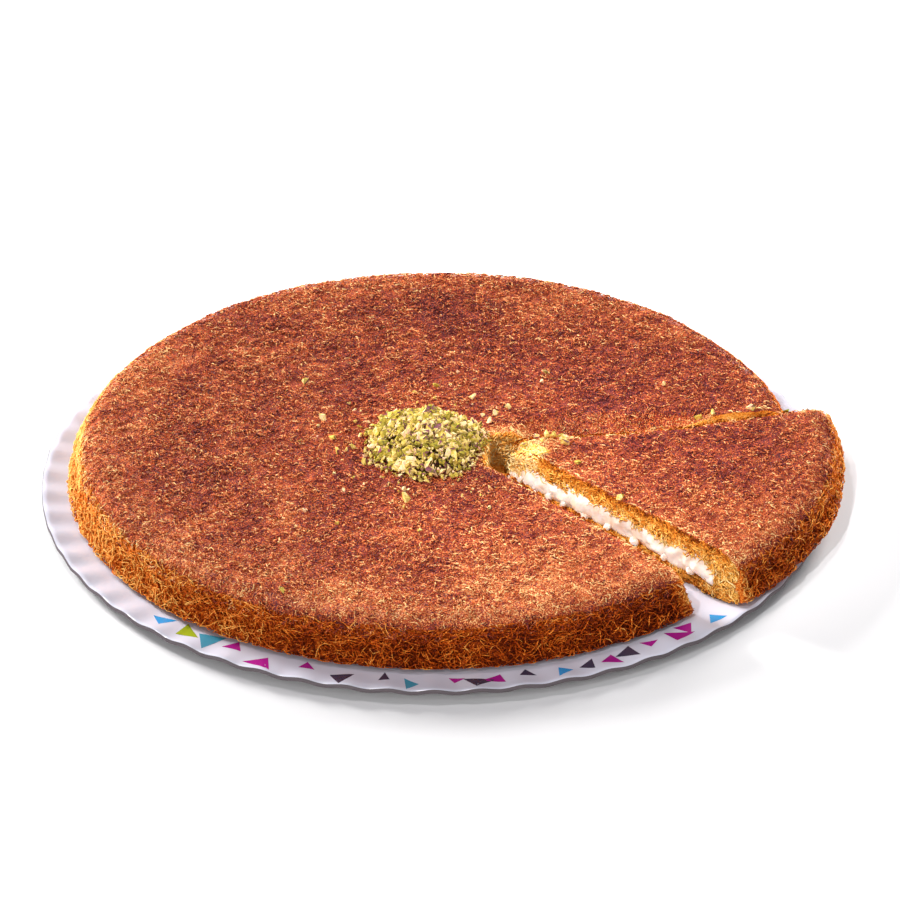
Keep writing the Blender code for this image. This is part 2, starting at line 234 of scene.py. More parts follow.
# %% Floor
floor_paint, _, floor_shader = new_material("matt white paper sweep")
floor_shader.inputs["Base Color"].default_value = linear("#ECECEE")
floor_shader.inputs["Roughness"].default_value = 0.9
floor_mesh = bpy.data.meshes.new("floor")
floor_mesh.from_pydata([(-6, -6, 0), (6, -6, 0), (6, 6, 0), (-6, 6, 0)], [], [(0, 1, 2, 3)])
floor_mesh.materials.append(floor_paint)
floor = bpy.data.objects.new("floor", floor_mesh)
scene.collection.objects.link(floor)
print("floor lies at height", 0.0)

# %% [markdown]
# ## Shape of the dessert
# These sizes repeat the ones that the solids were made from, in the plan of the round, which is
# counted from its own middle. Only the slice's tip is rounded a little further than in the solids.
# Two ideas carry everything that follows. A cut is a straight line in the plan, so one distance says
# on which side of it a point lies. And the browned skin is thought of as unrolled flat: the distance
# from the middle, measured along the skin over the rounded edge and down the side, takes the place
# of the radius. A shred is drawn on that flat sheet and then bent over the edge with it.

# %% Sizes of tray and round
TRAY_RADIUS = 164.0 * MM
TRAY_FLAT_RADIUS = 140 * MM
TRAY_THICKNESS = 1.8 * MM
RIM_RISE = 2.9 * MM
FLUTE_COUNT = 60
FLUTE_DEPTH = 0.5 * MM
GAP = 0.3 * MM
ROUND_CENTRE = np.array([0.0, 7.1 * MM])
ORIGIN = np.zeros(2)
ROUND_RADIUS = 150 * MM
ROUND_HEIGHT = 19.2 * MM
FOOT_SPREAD = 2.8 * MM
FOOT_SKEW = 2.0 * MM
EDGE_ROUNDING = 11 * MM
CORE_RADIUS = 138 * MM
BASE_THICKNESS = 4.3 * MM
CREAM_THICKNESS = 6.0 * MM
FOOD_FLOOR = TRAY_THICKNESS + GAP
FOOD_TOP = FOOD_FLOOR + ROUND_HEIGHT
CREAM_LOW = FOOD_FLOOR + BASE_THICKNESS + GAP
CREAM_HIGH = CREAM_LOW + CREAM_THICKNESS
CRUST_UNDER = CREAM_HIGH + GAP
print("the top lies at", round(FOOD_TOP / MM, 1), "mm")


# %% Cuts, sag and tip in the plan
def direction(degrees):
    return np.array([math.cos(math.radians(degrees)), math.sin(math.radians(degrees))])


NOTCH_APEX = np.array([1.0, -8.2]) * MM
NOTCH_NEAR = direction(-47.5)
NOTCH_FAR = direction(10.2)
NOTCH_NEAR_START = 28 * MM
NOTCH_FAR_START = 20 * MM
NOTCH_BLUNT_END = 20.3 * MM
BASE_TONGUE = 8 * MM
CREAM_RECESS = 2 * MM
SLICE_CENTRE = np.array([18.5, 2.5]) * MM
SLICE_APEX = np.array([32.8, -13.4]) * MM
SLICE_NEAR = direction(-46.4)
SLICE_FAR = direction(12.9)
SLICE_MIDDLE = direction(-16.7)
SLICE_FAR_BULGE = np.array(
    [
        [0, 4, 12, 22.5, 36.5, 50.5, 74, 98, 117, 150],
        [4.2, 4.5, 4.0, 2.4, 0.2, -1.1, -1.7, -0.1, 1.6, 1.6],
    ]
) * MM
NO_BULGE = np.zeros((2, 2))
TIP_BLUNTNESS = 2.2 * MM
TIP_BOW = 1.6 * MM
TIP_START = 1.5 * MM
CRUST_TIP_START = 4 * MM
TIP_DROP = 5.0 * MM
TIP_DROP_REACH = 14 * MM
NEAR_LEAN = 3.8 * MM
FAR_LEAN = 1.0 * MM
CREAM_SWELL = 0.9 * MM
SAG_DEPTH = 6.4 * MM
SAG_WIDTHS = np.array([[30, 40, 55, 107, 128], [2.0, 10.5, 15.5, 4.5, 1.0]]) * MM
SAG_START = 30 * MM
SAG_RISE = 12 * MM
SAG_END = 128 * MM
SAG_FALL = 34 * MM
HEAP_CENTRE = np.array([-4.0, -14.8]) * MM


def left_of(plan, start, along):
    """Signed distance from a line: positive on its left, looking along it."""
    return along[0] * (plan[..., 1] - start[1]) - along[1] * (plan[..., 0] - start[0])


def ahead_of(plan, start, along):
    """Distance along a line from its start to the foot of the point."""
    return along[0] * (plan[..., 0] - start[0]) + along[1] * (plan[..., 1] - start[1])


def sag_share(plan):
    """Share of its height that the round loses in the sunken strip beside the far cut.

    depth * start * end * t (1.4 - 0.4 t), with t = 1 - across / width and a table of widths.
    """
    along = ahead_of(plan, NOTCH_APEX, NOTCH_FAR)
    across = np.abs(left_of(plan, NOTCH_APEX, NOTCH_FAR))
    fade = smooth((along - SAG_START) / SAG_RISE) * smooth((SAG_END - along) / SAG_FALL)
    width = np.interp(along, *SAG_WIDTHS)
    share = np.clip(1 - across / width, 0, 1)
    return SAG_DEPTH * fade * share * (1.4 - 0.4 * share) / ROUND_HEIGHT


def tip_share(plan):
    """Share of its height that the slice loses towards its tip: drop (1 - away / reach)^2."""
    away = np.hypot(plan[..., 0] - SLICE_APEX[0], plan[..., 1] - SLICE_APEX[1])
    return TIP_DROP * np.clip(1 - away / TIP_DROP_REACH, 0, 1) ** 2 / ROUND_HEIGHT


def rim_share(radius):
    """0 on the tray's flat bottom, 1 at its edge, more past the edge."""
    return np.maximum((radius - TRAY_FLAT_RADIUS) / (TRAY_RADIUS - TRAY_FLAT_RADIUS), 0.0)


def foot_skew(outwards, level):
    """The foot stands out further at the front left: skew * cos(angle to it) * (1 - height share)."""
    above = np.clip((level - FOOD_FLOOR) / (ROUND_HEIGHT - EDGE_ROUNDING), 0, 1)
    return FOOT_SKEW * (outwards @ direction(-110)) * (1 - above)


def settled(plan, level, shrink):
    """World point of a plan point at a level: shrunk in height, then lifted clear of the rim."""
    level = FOOD_FLOOR + (level - FOOD_FLOOR) * (1 - shrink(plan))
    world = plan + ROUND_CENTRE
    share = rim_share(np.hypot(world[..., 0], world[..., 1]))
    above = np.clip((level - FOOD_FLOOR) / ROUND_HEIGHT, 0, 1)
    lift = (RIM_RISE + FLUTE_DEPTH) * share**1.5 * (1 - above)
    return np.concatenate([world, (level + lift)[..., None]], axis=-1)


print("the far cut reaches the edge near", (NOTCH_APEX + NOTCH_FAR * ROUND_RADIUS) / MM)


# %% The skin's profile, unrolled
def skin_profile():
    """Radius and level along the skin, from the middle of the top to the foot, in small steps.

    Flat to the rounding, then an arc: (r0 + R sin t, top - R + R cos t), then two runs to the foot.
    """
    flat = ROUND_RADIUS - EDGE_ROUNDING
    turn = np.linspace(0, math.pi / 2, 40)
    radius = [np.linspace(0, flat, 60)[:-1], flat + EDGE_ROUNDING * np.sin(turn)]
    level = [np.full(59, FOOD_TOP), FOOD_TOP - EDGE_ROUNDING + EDGE_ROUNDING * np.cos(turn)]
    down = np.linspace(0, 1, 20)[1:]
    side_top = FOOD_TOP - EDGE_ROUNDING
    radius.append(ROUND_RADIUS + FOOT_SPREAD * (1 - (1 - down) ** 1.6))
    level.append(mix(side_top, FOOD_FLOOR + 1.0 * MM, down))
    return np.concatenate(radius), np.concatenate(level)


PROFILE_RADIUS, PROFILE_LEVEL = skin_profile()
PROFILE_ARC = np.concatenate(
    [[0], np.cumsum(np.hypot(np.diff(PROFILE_RADIUS), np.diff(PROFILE_LEVEL)))]
)
SKIN_REACH = PROFILE_ARC[-1]
EDGE_ARC = ROUND_RADIUS - EDGE_ROUNDING
OUTWARD = -np.gradient(PROFILE_LEVEL, PROFILE_ARC)
UPWARD = np.gradient(PROFILE_RADIUS, PROFILE_ARC)


def skin_point(sheet, height, centre, shrink, seed):
    """World point over a point of the unrolled sheet, at a height above the skin, and its normal."""
    arc = np.hypot(sheet[..., 0], sheet[..., 1])
    outwards = sheet / np.maximum(arc, 1e-9)[..., None]
    radius = np.interp(arc, PROFILE_ARC, PROFILE_RADIUS)
    level = np.interp(arc, PROFILE_ARC, PROFILE_LEVEL)
    lean_out = np.interp(arc, PROFILE_ARC, OUTWARD)
    lean_up = np.interp(arc, PROFILE_ARC, UPWARD)
    flat_plan = centre + outwards * radius[..., None]
    relief = skin_relief(flat_plan, level, seed) + height
    plan = flat_plan + outwards * (relief * lean_out + foot_skew(outwards, level))[..., None]
    place = settled(plan, level + relief * lean_up, shrink)
    normal = np.concatenate([outwards * lean_out[..., None], lean_up[..., None]], axis=-1)
    return place, normal


def skin_relief(plan, level, seed):
    """Lumps about 24 mm across and smaller crags of 6 mm, in metres, flat under the nut heap."""
    x, y = plan[..., 0], plan[..., 1]
    lumps = 0.5 * MM * soft_noise(x / (24 * MM), y / (24 * MM), seed + level / (30 * MM))
    crags = 0.35 * MM * soft_noise(x / (6 * MM), y / (6 * MM), seed + 9 + level / (6 * MM))
    away = np.hypot(x - HEAP_CENTRE[0], y - HEAP_CENTRE[1])
    return (lumps + crags) * smooth((away - 26 * MM) / (12 * MM)) - 0.35 * MM


print("the unrolled skin reaches", round(SKIN_REACH / MM, 1), "mm from the middle")


# %% Distances inside the round and inside the slice
def inside_body(plan, above=1.0):
    """How far a plan point lies inside the round, clear of the notch. Negative in the notch.

    The share above of the full height counts, because both cuts lean out towards their foot.
    """
    past_near = NEAR_LEAN * (1 - above) - left_of(plan, NOTCH_APEX, NOTCH_NEAR)
    past_far = FAR_LEAN * (1 - above) + left_of(plan, NOTCH_APEX, NOTCH_FAR)
    blunt = NOTCH_BLUNT_END - plan[..., 0]
    return np.maximum(np.maximum(past_near, past_far), blunt)


def inside_slice(plan, above=1.0):
    """How far a plan point lies inside the slice, from its nearer cut or its blunt tip."""
    past_near = NEAR_LEAN * (1 - above) + left_of(plan, SLICE_APEX, SLICE_NEAR)
    bulge = np.interp(ahead_of(plan, SLICE_APEX, SLICE_FAR), *SLICE_FAR_BULGE)
    past_far = FAR_LEAN * (1 - above) + bulge - left_of(plan, SLICE_APEX, SLICE_FAR)
    tip = ahead_of(plan, SLICE_APEX, SLICE_MIDDLE) - TIP_BLUNTNESS
    return np.minimum(np.minimum(past_near, past_far), tip)


print("the round's middle is inside by", round(float(inside_body(np.zeros(2))) / MM, 1), "mm")

# %% [markdown]
# ## Layers as closed blocks
# Each layer is a block bent into place. Its first direction runs round the dessert from one cut to
# the other, its second from the inner end to the rim, and its third through the thickness. Only the
# block's six outer faces are made, so the mesh is closed. Where a cut leans or is ragged, the points
# near it are pushed outwards by a distance that fades inwards.

# %% Closed skin of a block
def block_skin(place, steps):
    """The six outer faces of a lattice whose points place(a, b, k) gives, a, b, k from 0 to 1."""
    lattice = np.meshgrid(*[np.arange(n + 1) for n in steps], indexing="ij")
    outer = np.zeros(lattice[0].shape, bool)
    for axis, count in zip(lattice, steps):
        outer |= (axis == 0) | (axis == count)
    number = np.full(outer.shape, -1)
    number[outer] = np.arange(outer.sum())
    points = place(*[axis[outer] / count for axis, count in zip(lattice, steps)])
    faces = []
    for axis in range(3):
        for end in (0, -1):
            grid = np.take(number, end, axis)
            quads = np.stack([grid[:-1, :-1], grid[1:, :-1], grid[1:, 1:], grid[:-1, 1:]], -1)
            quads = quads.reshape(-1, 4)
            turned = (axis == 1) == (end == -1)
            faces.append(quads[:, ::-1] if turned else quads)
    faces = np.concatenate(faces)
    a, b, c, d = (points[faces[:, i]] for i in range(4))
    volume = (np.cross(a, b) * c).sum() + (np.cross(a, c) * d).sum()
    return points, [faces if volume > 0 else faces[:, ::-1]]


def line_to_circle(start, along, centre, radius):
    """Where a line meets a circle: distance t = -m + sqrt(m * m - |offset|^2 + r^2)."""
    offset = start - centre
    m = offset @ along
    far = -m + np.sqrt(m * m - offset @ offset + radius**2)
    return start + far[..., None] * along


def bearing(plan, centre):
    return np.arctan2(plan[..., 1] - centre[1], plan[..., 0] - centre[0])


# %% The round's and the slice's fan in the plan
BLUNT_FIRST_RAY = 0.28
BLUNT_RAY_SHARE = 0.30


def body_fan(a, radius, further=0.0):
    """Inner and outer end of the a-th ray of the round, at this outer radius, clockwise.

    The blunt end inside the notch lies further to the right by the last number.
    """
    first = bearing(line_to_circle(NOTCH_APEX, NOTCH_NEAR, ORIGIN, radius), ORIGIN)
    last = bearing(line_to_circle(NOTCH_APEX, NOTCH_FAR, ORIGIN, radius), ORIGIN) - 2 * math.pi
    angle = mix(first, last, a)
    outer = np.stack([np.cos(angle), np.sin(angle)], -1) * radius[..., None]
    near_end = NOTCH_APEX + NOTCH_NEAR * (NOTCH_NEAR_START + further / NOTCH_NEAR[0])
    far_end = NOTCH_APEX + NOTCH_FAR * (NOTCH_FAR_START + further / NOTCH_FAR[0])
    share = np.clip((a - BLUNT_FIRST_RAY) / BLUNT_RAY_SHARE, 0, 1)[..., None]
    return mix(near_end, far_end, share), outer


def slice_fan(a, radius, tip_start):
    """The same for the slice, from its near cut to its far cut."""
    first = bearing(line_to_circle(SLICE_APEX, SLICE_NEAR, SLICE_CENTRE, radius), SLICE_CENTRE)
    last = bearing(line_to_circle(SLICE_APEX, SLICE_FAR, SLICE_CENTRE, radius), SLICE_CENTRE)
    angle = mix(first, last, a)
    outer = SLICE_CENTRE + np.stack([np.cos(angle), np.sin(angle)], -1) * radius[..., None]
    inner = SLICE_APEX + mix(SLICE_NEAR, SLICE_FAR, a[..., None]) * tip_start
    inner = inner - SLICE_MIDDLE * (TIP_BOW * np.sin(math.pi * a))[..., None]
    return inner, outer


def ragged(plan, level, seed):
    """Unevenness of a cut face in metres: lumps about 7 mm wide and smaller ones of 3 mm."""
    x, y = plan[..., 0] / MM, plan[..., 1] / MM
    coarse = soft_noise(x / 7, y / 7, level / (5 * MM) + seed)
    return (0.9 * coarse + 0.4 * soft_noise(x / 3, y / 3, level / (2 * MM) + seed)) * MM


def cut_push(plan, level, a, walls, swell, seed):
    """Plan shift of a point near a cut: lean of the foot, swell of cream and a ragged surface.

    The share a runs from 0 at the near cut to 1 at the far cut and weighs a cut's own bulge.
    """
    above = np.clip((level - FOOD_FLOOR) / ROUND_HEIGHT, 0, 1)
    shift = np.zeros(plan.shape)
    for (start, along, side, lean, bulge), weight in zip(walls, (1 - a, a)):
        outward = np.array([-along[1], along[0]]) * side
        depth = -side * left_of(plan, start, along)
        run = ahead_of(plan, start, along)
        push = lean * (1 - above) + swell + ragged(plan, level, seed)
        fade = smooth(1 - np.abs(depth) / (9 * MM)) * smooth((run + 5 * MM) / (8 * MM))
        shift += outward * (push * fade + np.interp(run, *bulge) * weight**2)[..., None]
    return shift


BODY_WALLS = (
    (NOTCH_APEX, NOTCH_NEAR, 1, NEAR_LEAN, NO_BULGE),
    (NOTCH_APEX, NOTCH_FAR, -1, FAR_LEAN, NO_BULGE),
)
SLICE_WALLS = (
    (SLICE_APEX, SLICE_NEAR, -1, NEAR_LEAN, NO_BULGE),
    (SLICE_APEX, SLICE_FAR, 1, FAR_LEAN, SLICE_FAR_BULGE),
)
print("walls of the slice:", len(SLICE_WALLS))


# %% Blocks of crust, cream and base
TOP_SHARE = 0.72
ROW_SPACING = 0.9


def crust_block(fan, centre, shrink, walls, seed):
    """place(a, b, k) of a crust: the skin outside, and the faces round cream and base inside.

    The outer line runs along the skin's profile, and the inner line runs level below the top and
    then down at the core's radius. k mixes from the outer to the inner line. The share TOP_SHARE of
    the steps lies on the top, a little closer together towards the rim.
    """

    def place(a, b, k):
        on_top = np.minimum(b / TOP_SHARE, 1.0)
        down = np.clip((b - TOP_SHARE) / (1 - TOP_SHARE), 0, 1)
        arc = mix(EDGE_ARC, SKIN_REACH, down)
        radius = np.interp(arc, PROFILE_ARC, PROFILE_RADIUS)
        level = np.interp(arc, PROFILE_ARC, PROFILE_LEVEL)
        start, end = fan(a, radius)
        outer = mix(start, end, (on_top**ROW_SPACING)[..., None])
        outwards = (end - centre) / radius[..., None]
        relief = skin_relief(outer, level, seed) - 0.45 * MM
        lean_out = np.interp(arc, PROFILE_ARC, OUTWARD) * (b > TOP_SHARE)
        lean_up = np.where(b > TOP_SHARE, np.interp(arc, PROFILE_ARC, UPWARD), 1.0)
        skew = foot_skew(outwards, level) * (b > TOP_SHARE)
        outer = outer + outwards * (relief * lean_out + skew)[..., None]
        outer_level = level + relief * lean_up
        start, end = fan(a, np.full(a.shape, CORE_RADIUS + GAP))
        inner = mix(start, end, (on_top**ROW_SPACING)[..., None])
        inner_level = mix(CRUST_UNDER, FOOD_FLOOR + 0.3 * MM, down)
        plan = mix(outer, inner, k[..., None])
        height = mix(outer_level, inner_level, k)
        plan = plan + cut_push(plan, height, a, walls, 0.0, seed)
        return settled(plan, height, shrink)

    return place


def layer_block(fan, low, high, shrink, walls, swell, seed, lumps, lip):
    """place(a, b, k) of a flat layer inside the core's radius, its cut faces bulged by swell.

    At the near cut its upper edge is smeared up over the pastry by about the lip.
    """

    def place(a, b, k):
        start, end = fan(a, np.full(a.shape, CORE_RADIUS))
        plan = mix(start, end, (b**ROW_SPACING)[..., None])
        x, y = plan[..., 0] / (7 * MM), plan[..., 1] / (7 * MM)
        smear = lip * smooth(1 - 30 * a) * smooth(12 * (1 - b)) * (1 - k)
        level = mix(high, low, k) + smear * (1 + 0.8 * soft_noise(x, y, 2.5))
        bulge = swell * (1 - (2 * k - 1) ** 2) + 0.45 * smear
        bulge = bulge + lumps * soft_noise(x, y, level / (5 * MM) + seed)
        bulge = bulge + 0.5 * lumps * soft_noise(3 * x, 3 * y, level / (2 * MM) + seed)
        plan = plan + cut_push(plan, level, a, walls, bulge, seed)
        return settled(plan, level, shrink)

    return place


def slice_fan_for(tip_start):
    return lambda a, radius: slice_fan(a, radius, tip_start)


# %% [markdown]
# ## Finish of the pastry
# Kadayif shreds are thin noodles of flour and water, brushed with butter. The oven turns them from
# straw yellow through amber to a deep red brown, and syrup leaves a thin gloss. Each shred carries
# two numbers of its own: how far it has baked, with painted light and shade added, and a small
# random shade. One ramp of colours reads them, so that neighbours differ as they do in a real tangle.

# %% Pastry materials
# The darkest stops of the top are red brown with a purple cast: the purple is a painted sheen.
TOP_STOPS = (
    (0.0, "#FCDA98"),
    (0.2, "#F0A266"),
    (0.42, "#D86E36"),
    (0.62, "#B04626"),
    (0.82, "#863A3A"),
    (1.0, "#50222A"),
)
SIDE_STOPS = (
    (0.0, "#FAC068"),
    (0.25, "#EE8E34"),
    (0.5, "#CE6016"),
    (0.75, "#A63C06"),
    (1.0, "#5E1A04"),
)
CRUMB_STOPS = (
    (0.0, "#FFE4A4"),
    (0.3, "#FCC25E"),
    (0.6, "#E28A2C"),
    (0.85, "#A65010"),
    (1.0, "#702C08"),
)


def pastry(name, stops, roughness, shine, contrast):
    """Baked shreds: a ramp over bake with painted light in it + shade + mottle 4 mm wide + grain 0.55 mm
    wide, all centred.
    """
    made, tree, shader = new_material(name)
    bake_and_light = add_node(tree, "ShaderNodeAttribute", attribute_name="bake_and_light")
    shade = add_node(tree, "ShaderNodeAttribute", attribute_name="shade")
    coords = add_node(tree, "ShaderNodeTexCoord")
    mottle, grain, tangle = (
        add_node(
            tree,
            "ShaderNodeTexNoise",
            {"Vector": coords.outputs["Object"], "Scale": 1 / width, "Detail": detail},
        ).outputs[0]
        for width, detail in ((4 * MM, 2.0), (0.55 * MM, 1.0), (0.9 * MM, 3.0))
    )
    total = bake_and_light.outputs["Fac"]
    for value, spread in (
        (shade.outputs["Fac"], contrast / 4.4),
        (mottle, 0.5),
        (grain, contrast),
    ):
        centred = add_node(
            tree, "ShaderNodeMath", {0: value, 1: spread, 2: -spread / 2}, operation="MULTIPLY_ADD"
        )
        total = add_node(tree, "ShaderNodeMath", {0: total, 1: centred.outputs[0]}).outputs[0]
    ramp = add_node(tree, "ShaderNodeValToRGB", {"Fac": total}, stops)
    tree.links.new(ramp.outputs["Color"], shader.inputs["Base Color"])
    bump = add_node(
        tree, "ShaderNodeBump", {"Height": tangle, "Strength": 0.9, "Distance": 0.5 * MM}
    )
    tree.links.new(bump.outputs["Normal"], shader.inputs["Normal"])
    shader.inputs["Roughness"].default_value = roughness
    shader.inputs["IOR"].default_value = 1.45
    shader.inputs["Specular IOR Level"].default_value = shine
    return made


crisp_top = pastry("baked kadayif shreds, browned top", TOP_STOPS, 0.3, 0.5, 2.2)
crisp_side = pastry("baked kadayif shreds, buttered side", SIDE_STOPS, 0.42, 0.25, 1.5)
soft_inside = pastry("soft kadayif shreds, syrup soaked", CRUMB_STOPS, 0.45, 0.3, 0.9)
print("pastry finishes:", crisp_top.name, "/", crisp_side.name, "/", soft_inside.name)


# %% Bake field of the crust, with painted light and shade
def bake_and_light_at(plan, arc):
    """How brown the crust is, with painted light and shade: patches on top, the side painted golden
    at the left, where the lamps light it, and darkest at the front, where shade falls.

    side = 0.38 + 0.48 * (direction of the side . direction of the most shaded side) + mottle, darker
    at the foot, and browner again at the back.
    """
    x, y = plan[..., 0], plan[..., 1]
    wide = soft_noise(x / (34 * MM), y / (34 * MM), 3.5)
    small = soft_noise(x / (12 * MM), y / (12 * MM), 8.5)
    top = 0.62 + 0.12 * wide + 0.14 * small
    rim = smooth((arc - 112 * MM) / (26 * MM))
    # Paler towards the front: a painted highlight for the glints along the front of the top.
    front = smooth((-y - 40 * MM) / (90 * MM))
    behind = smooth((plan @ direction(55) - 5 * MM) / (90 * MM))
    top = top - 0.10 * rim - 0.11 * front + 0.08 * behind
    sunk = sag_share(plan) * ROUND_HEIGHT / SAG_DEPTH
    # Paler halfway down the slope of the sunken strip: a painted highlight along its crease.
    top = top - 0.7 * sunk * (1 - sunk)
    torn = np.hypot(x - SLICE_APEX[0], y - SLICE_APEX[1]) / (14 * MM)
    top = top - 0.58 * smooth(1.5 - torn)
    # The side is painted by its direction: golden where the lamps light it at the left, dark where shade
    # falls at the front and front right.
    shade_facing = np.maximum((plan @ direction(-62)) / np.maximum(np.hypot(x, y), 1 * MM), -0.5)
    # Darker at the foot: painted shade near the tray, and partly real browning.
    foot = smooth((arc - 157 * MM) / (8 * MM))
    side = 0.38 + 0.48 * shade_facing + 0.14 * small + 0.12 * foot + 0.35 * smooth(y / (110 * MM))
    return mix(top, side, smooth((arc - EDGE_ARC - 5 * MM) / (7 * MM)))


print("bake in the middle of the top:", round(float(bake_and_light_at(np.array([0.05, 0.05]), 0.07)), 2))


# %% Crust blocks
def add_block(name, place, steps, finish, replaced, bake_and_light):
    points, faces = block_skin(place, steps)
    marks = {"bake_and_light": bake_and_light(points), "shade": np.full(len(points), 0.5)}
    return piece_from(name, points, faces, finish, replaced, marks, merge=True)


def side_finish(piece, centre):
    """Finish of the side below the rounded edge, and of the soft inside on steep cut faces."""
    piece.data.materials.append(crisp_side)
    piece.data.materials.append(soft_inside)
    middles = np.empty(len(piece.data.polygons) * 3, np.float32)
    normals = np.empty_like(middles)
    piece.data.polygons.foreach_get("center", middles)
    piece.data.polygons.foreach_get("normal", normals)
    away = middles.reshape(-1, 3)[:, :2] - (ROUND_CENTRE + centre)
    on_side = np.hypot(away[:, 0], away[:, 1]) > ROUND_RADIUS - 3 * MM
    on_cut = np.abs(normals[2::3]) < 0.5
    index = np.where(on_side, 1, np.where(on_cut, 2, 0))
    piece.data.polygons.foreach_set("material_index", index.astype(np.int32))


def crust_bake_and_shade(points, centre, inside):
    """Browned outside and a little darker than the shreds on it, painted shade in the gaps between them,
    and golden on the cut faces.
    """
    plan = points[:, :2] - ROUND_CENTRE
    around = plan - centre
    away = np.hypot(around[:, 0], around[:, 1])
    below = FOOD_TOP - points[:, 2]
    arc = np.where(away > ROUND_RADIUS - 6 * MM, EDGE_ARC + 4 * MM + below, away)
    deep = smooth((below - 1.0 * MM) / (1.6 * MM))
    near_cut = 1 - smooth(np.abs(inside(plan, 0.5)) / (5 * MM))
    torn = np.hypot(plan[:, 0] - SLICE_APEX[0], plan[:, 1] - SLICE_APEX[1]) / (14 * MM)
    cut_bake = 0.36 - 0.3 * smooth(1.7 - torn)
    # The skin is painted 0.06 darker than the shreds on it, as shade in the gaps between them.
    return mix(bake_and_light_at(plan, arc) + 0.06, cut_bake, deep * near_cut)


body_crust = add_block(
    "pastry_round",
    crust_block(body_fan, ORIGIN, sag_share, BODY_WALLS, 1.0),
    (300, 84, 8),
    crisp_top,
    ("body_crust",),
    lambda points: crust_bake_and_shade(points, ORIGIN, inside_body),
)
slice_crust = add_block(
    "pastry_slice",
    crust_block(slice_fan_for(CRUST_TIP_START), SLICE_CENTRE, tip_share, SLICE_WALLS, 7.0),
    (110, 84, 8),
    crisp_top,
    ("slice_crust",),
    lambda points: crust_bake_and_shade(points, SLICE_CENTRE, inside_slice),
)
side_finish(body_crust, ORIGIN)
side_finish(slice_crust, SLICE_CENTRE)

# %% [markdown]
# ## Cream and base
# The cream is clotted cream thickened with starch: warm white, moist and a little glossy, swelling
# out between the two layers of pastry. Below it lies a thin base of shreds that stayed pale.

# %% Cream and base blocks
cream_finish, cream_tree, cream_shader = new_material("clotted cream, moist")
cream_coords = add_node(cream_tree, "ShaderNodeTexCoord")
cream_clouds = add_node(
    cream_tree,
    "ShaderNodeTexNoise",
    {"Vector": cream_coords.outputs["Object"], "Scale": 1 / (6 * MM), "Detail": 3.0},
)
cream_ramp = add_node(
    cream_tree,
    "ShaderNodeValToRGB",
    {"Fac": cream_clouds.outputs[0]},
    ((0.3, "#FADCC4"), (0.5, "#FFF0E6"), (0.7, "#FFFAF8")),
)
cream_tree.links.new(cream_ramp.outputs["Color"], cream_shader.inputs["Base Color"])
cream_shader.inputs["Roughness"].default_value = 0.3
cream_shader.inputs["Subsurface Weight"].default_value = 0.25
cream_shader.inputs["Subsurface Radius"].default_value = (1.0, 0.7, 0.5)
cream_shader.inputs["Subsurface Scale"].default_value = 2.0 * MM


def body_ends_at(further):
    return lambda a, radius: body_fan(a, radius, further)


def add_layer(name, node, fan, base, shrink, walls, seed, steps):
    """Adds a base or a cream layer as a closed block of that many steps."""
    low, high = (FOOD_FLOOR, CREAM_LOW - GAP) if base else (CREAM_LOW, CREAM_HIGH)
    swell, lumps, lip = 0, 0.2 * MM, 0
    if node == "slice_filling":
        swell, lumps, lip = CREAM_SWELL + 0.6 * MM, 0.8 * MM, 2.6 * MM
    add_block(
        name,
        layer_block(fan, low, high, shrink, walls, swell, seed, lumps, lip),
        steps,
        soft_inside if base else cream_finish,
        (node,),
        lambda points: np.full(len(points), 0.5),
    )


slice_layer_fan = slice_fan_for(TIP_START)
cream_fan, base_fan = body_ends_at(-CREAM_RECESS), body_ends_at(BASE_TONGUE)
body_steps, slice_steps = (260, 60, 8), (60, 150, 12)
add_layer("cream_round", "body_filling", cream_fan, False, sag_share, BODY_WALLS, 1.0, body_steps)
add_layer("base_round", "body_base", base_fan, True, sag_share, BODY_WALLS, 1.0, body_steps)
add_layer(
    "cream_slice", "slice_filling", slice_layer_fan, False, tip_share, SLICE_WALLS, 7.0, slice_steps
)
add_layer("base_slice", "slice_base", slice_layer_fan, True, tip_share, SLICE_WALLS, 7.0, slice_steps)

# %% [markdown]
# ## Shreds
# A shred is a thin tube along a curling path. All shreds of a piece are computed together: the
# heading of a path turns steadily with a small wave on it, the points add up along the heading, and
# the height rises to a low arch, so that the ends dip below their neighbours. A path that crosses a
# cut keeps only its inner stretch. Three sides are enough at less than a millimetre of thickness.

# %% Tubes from arrays
def unit(vectors):
    return vectors / np.maximum(np.linalg.norm(vectors, axis=-1, keepdims=True), 1e-12)


def tubes(paths, normals, radius, sides):
    """Joined closed tubes: ring point = path + r (cos t * up + sin t * side), side = tangent x up."""
    count, rings, _ = paths.shape
    tangent = unit(np.gradient(paths, axis=1))
    side = unit(np.cross(tangent, normals))
    up = np.cross(side, tangent)
    turn = 2 * math.pi * np.arange(sides) / sides
    ring = np.cos(turn)[:, None] * up[:, :, None] + np.sin(turn)[:, None] * side[:, :, None]
    points = paths[:, :, None] + radius[:, :, None, None] * ring
    number = np.arange(count * rings * sides).reshape(count, rings, sides)
    after = np.roll(number, -1, axis=2)
    quads = np.stack([number[:, :-1], after[:, :-1], after[:, 1:], number[:, 1:]], -1)
    caps = np.concatenate([number[:, 0, ::-1], number[:, -1]])
    return points.reshape(-1, 3), [quads.reshape(-1, 4), caps]


def curls(rng, middles, heading, length, rings, bend, wave):
    """Flat paths through their middles: heading(s) = h + bend (s - 1/2) + wave sin(2 pi (s f + p))."""
    count = len(middles)
    share = np.linspace(0, 1, rings)
    phase = rng.random((count, 1))
    pace = rng.uniform(0.7, 1.6, (count, 1))
    turn = heading[:, None] + bend[:, None] * (share - 0.5)
    turn = turn + wave[:, None] * np.sin(2 * math.pi * (share * pace + phase))
    steps = np.stack([np.cos(turn), np.sin(turn)], -1) * (length / (rings - 1))[:, None, None]
    path = np.cumsum(steps, axis=1)
    return path - path.mean(axis=1, keepdims=True) + middles[:, None]


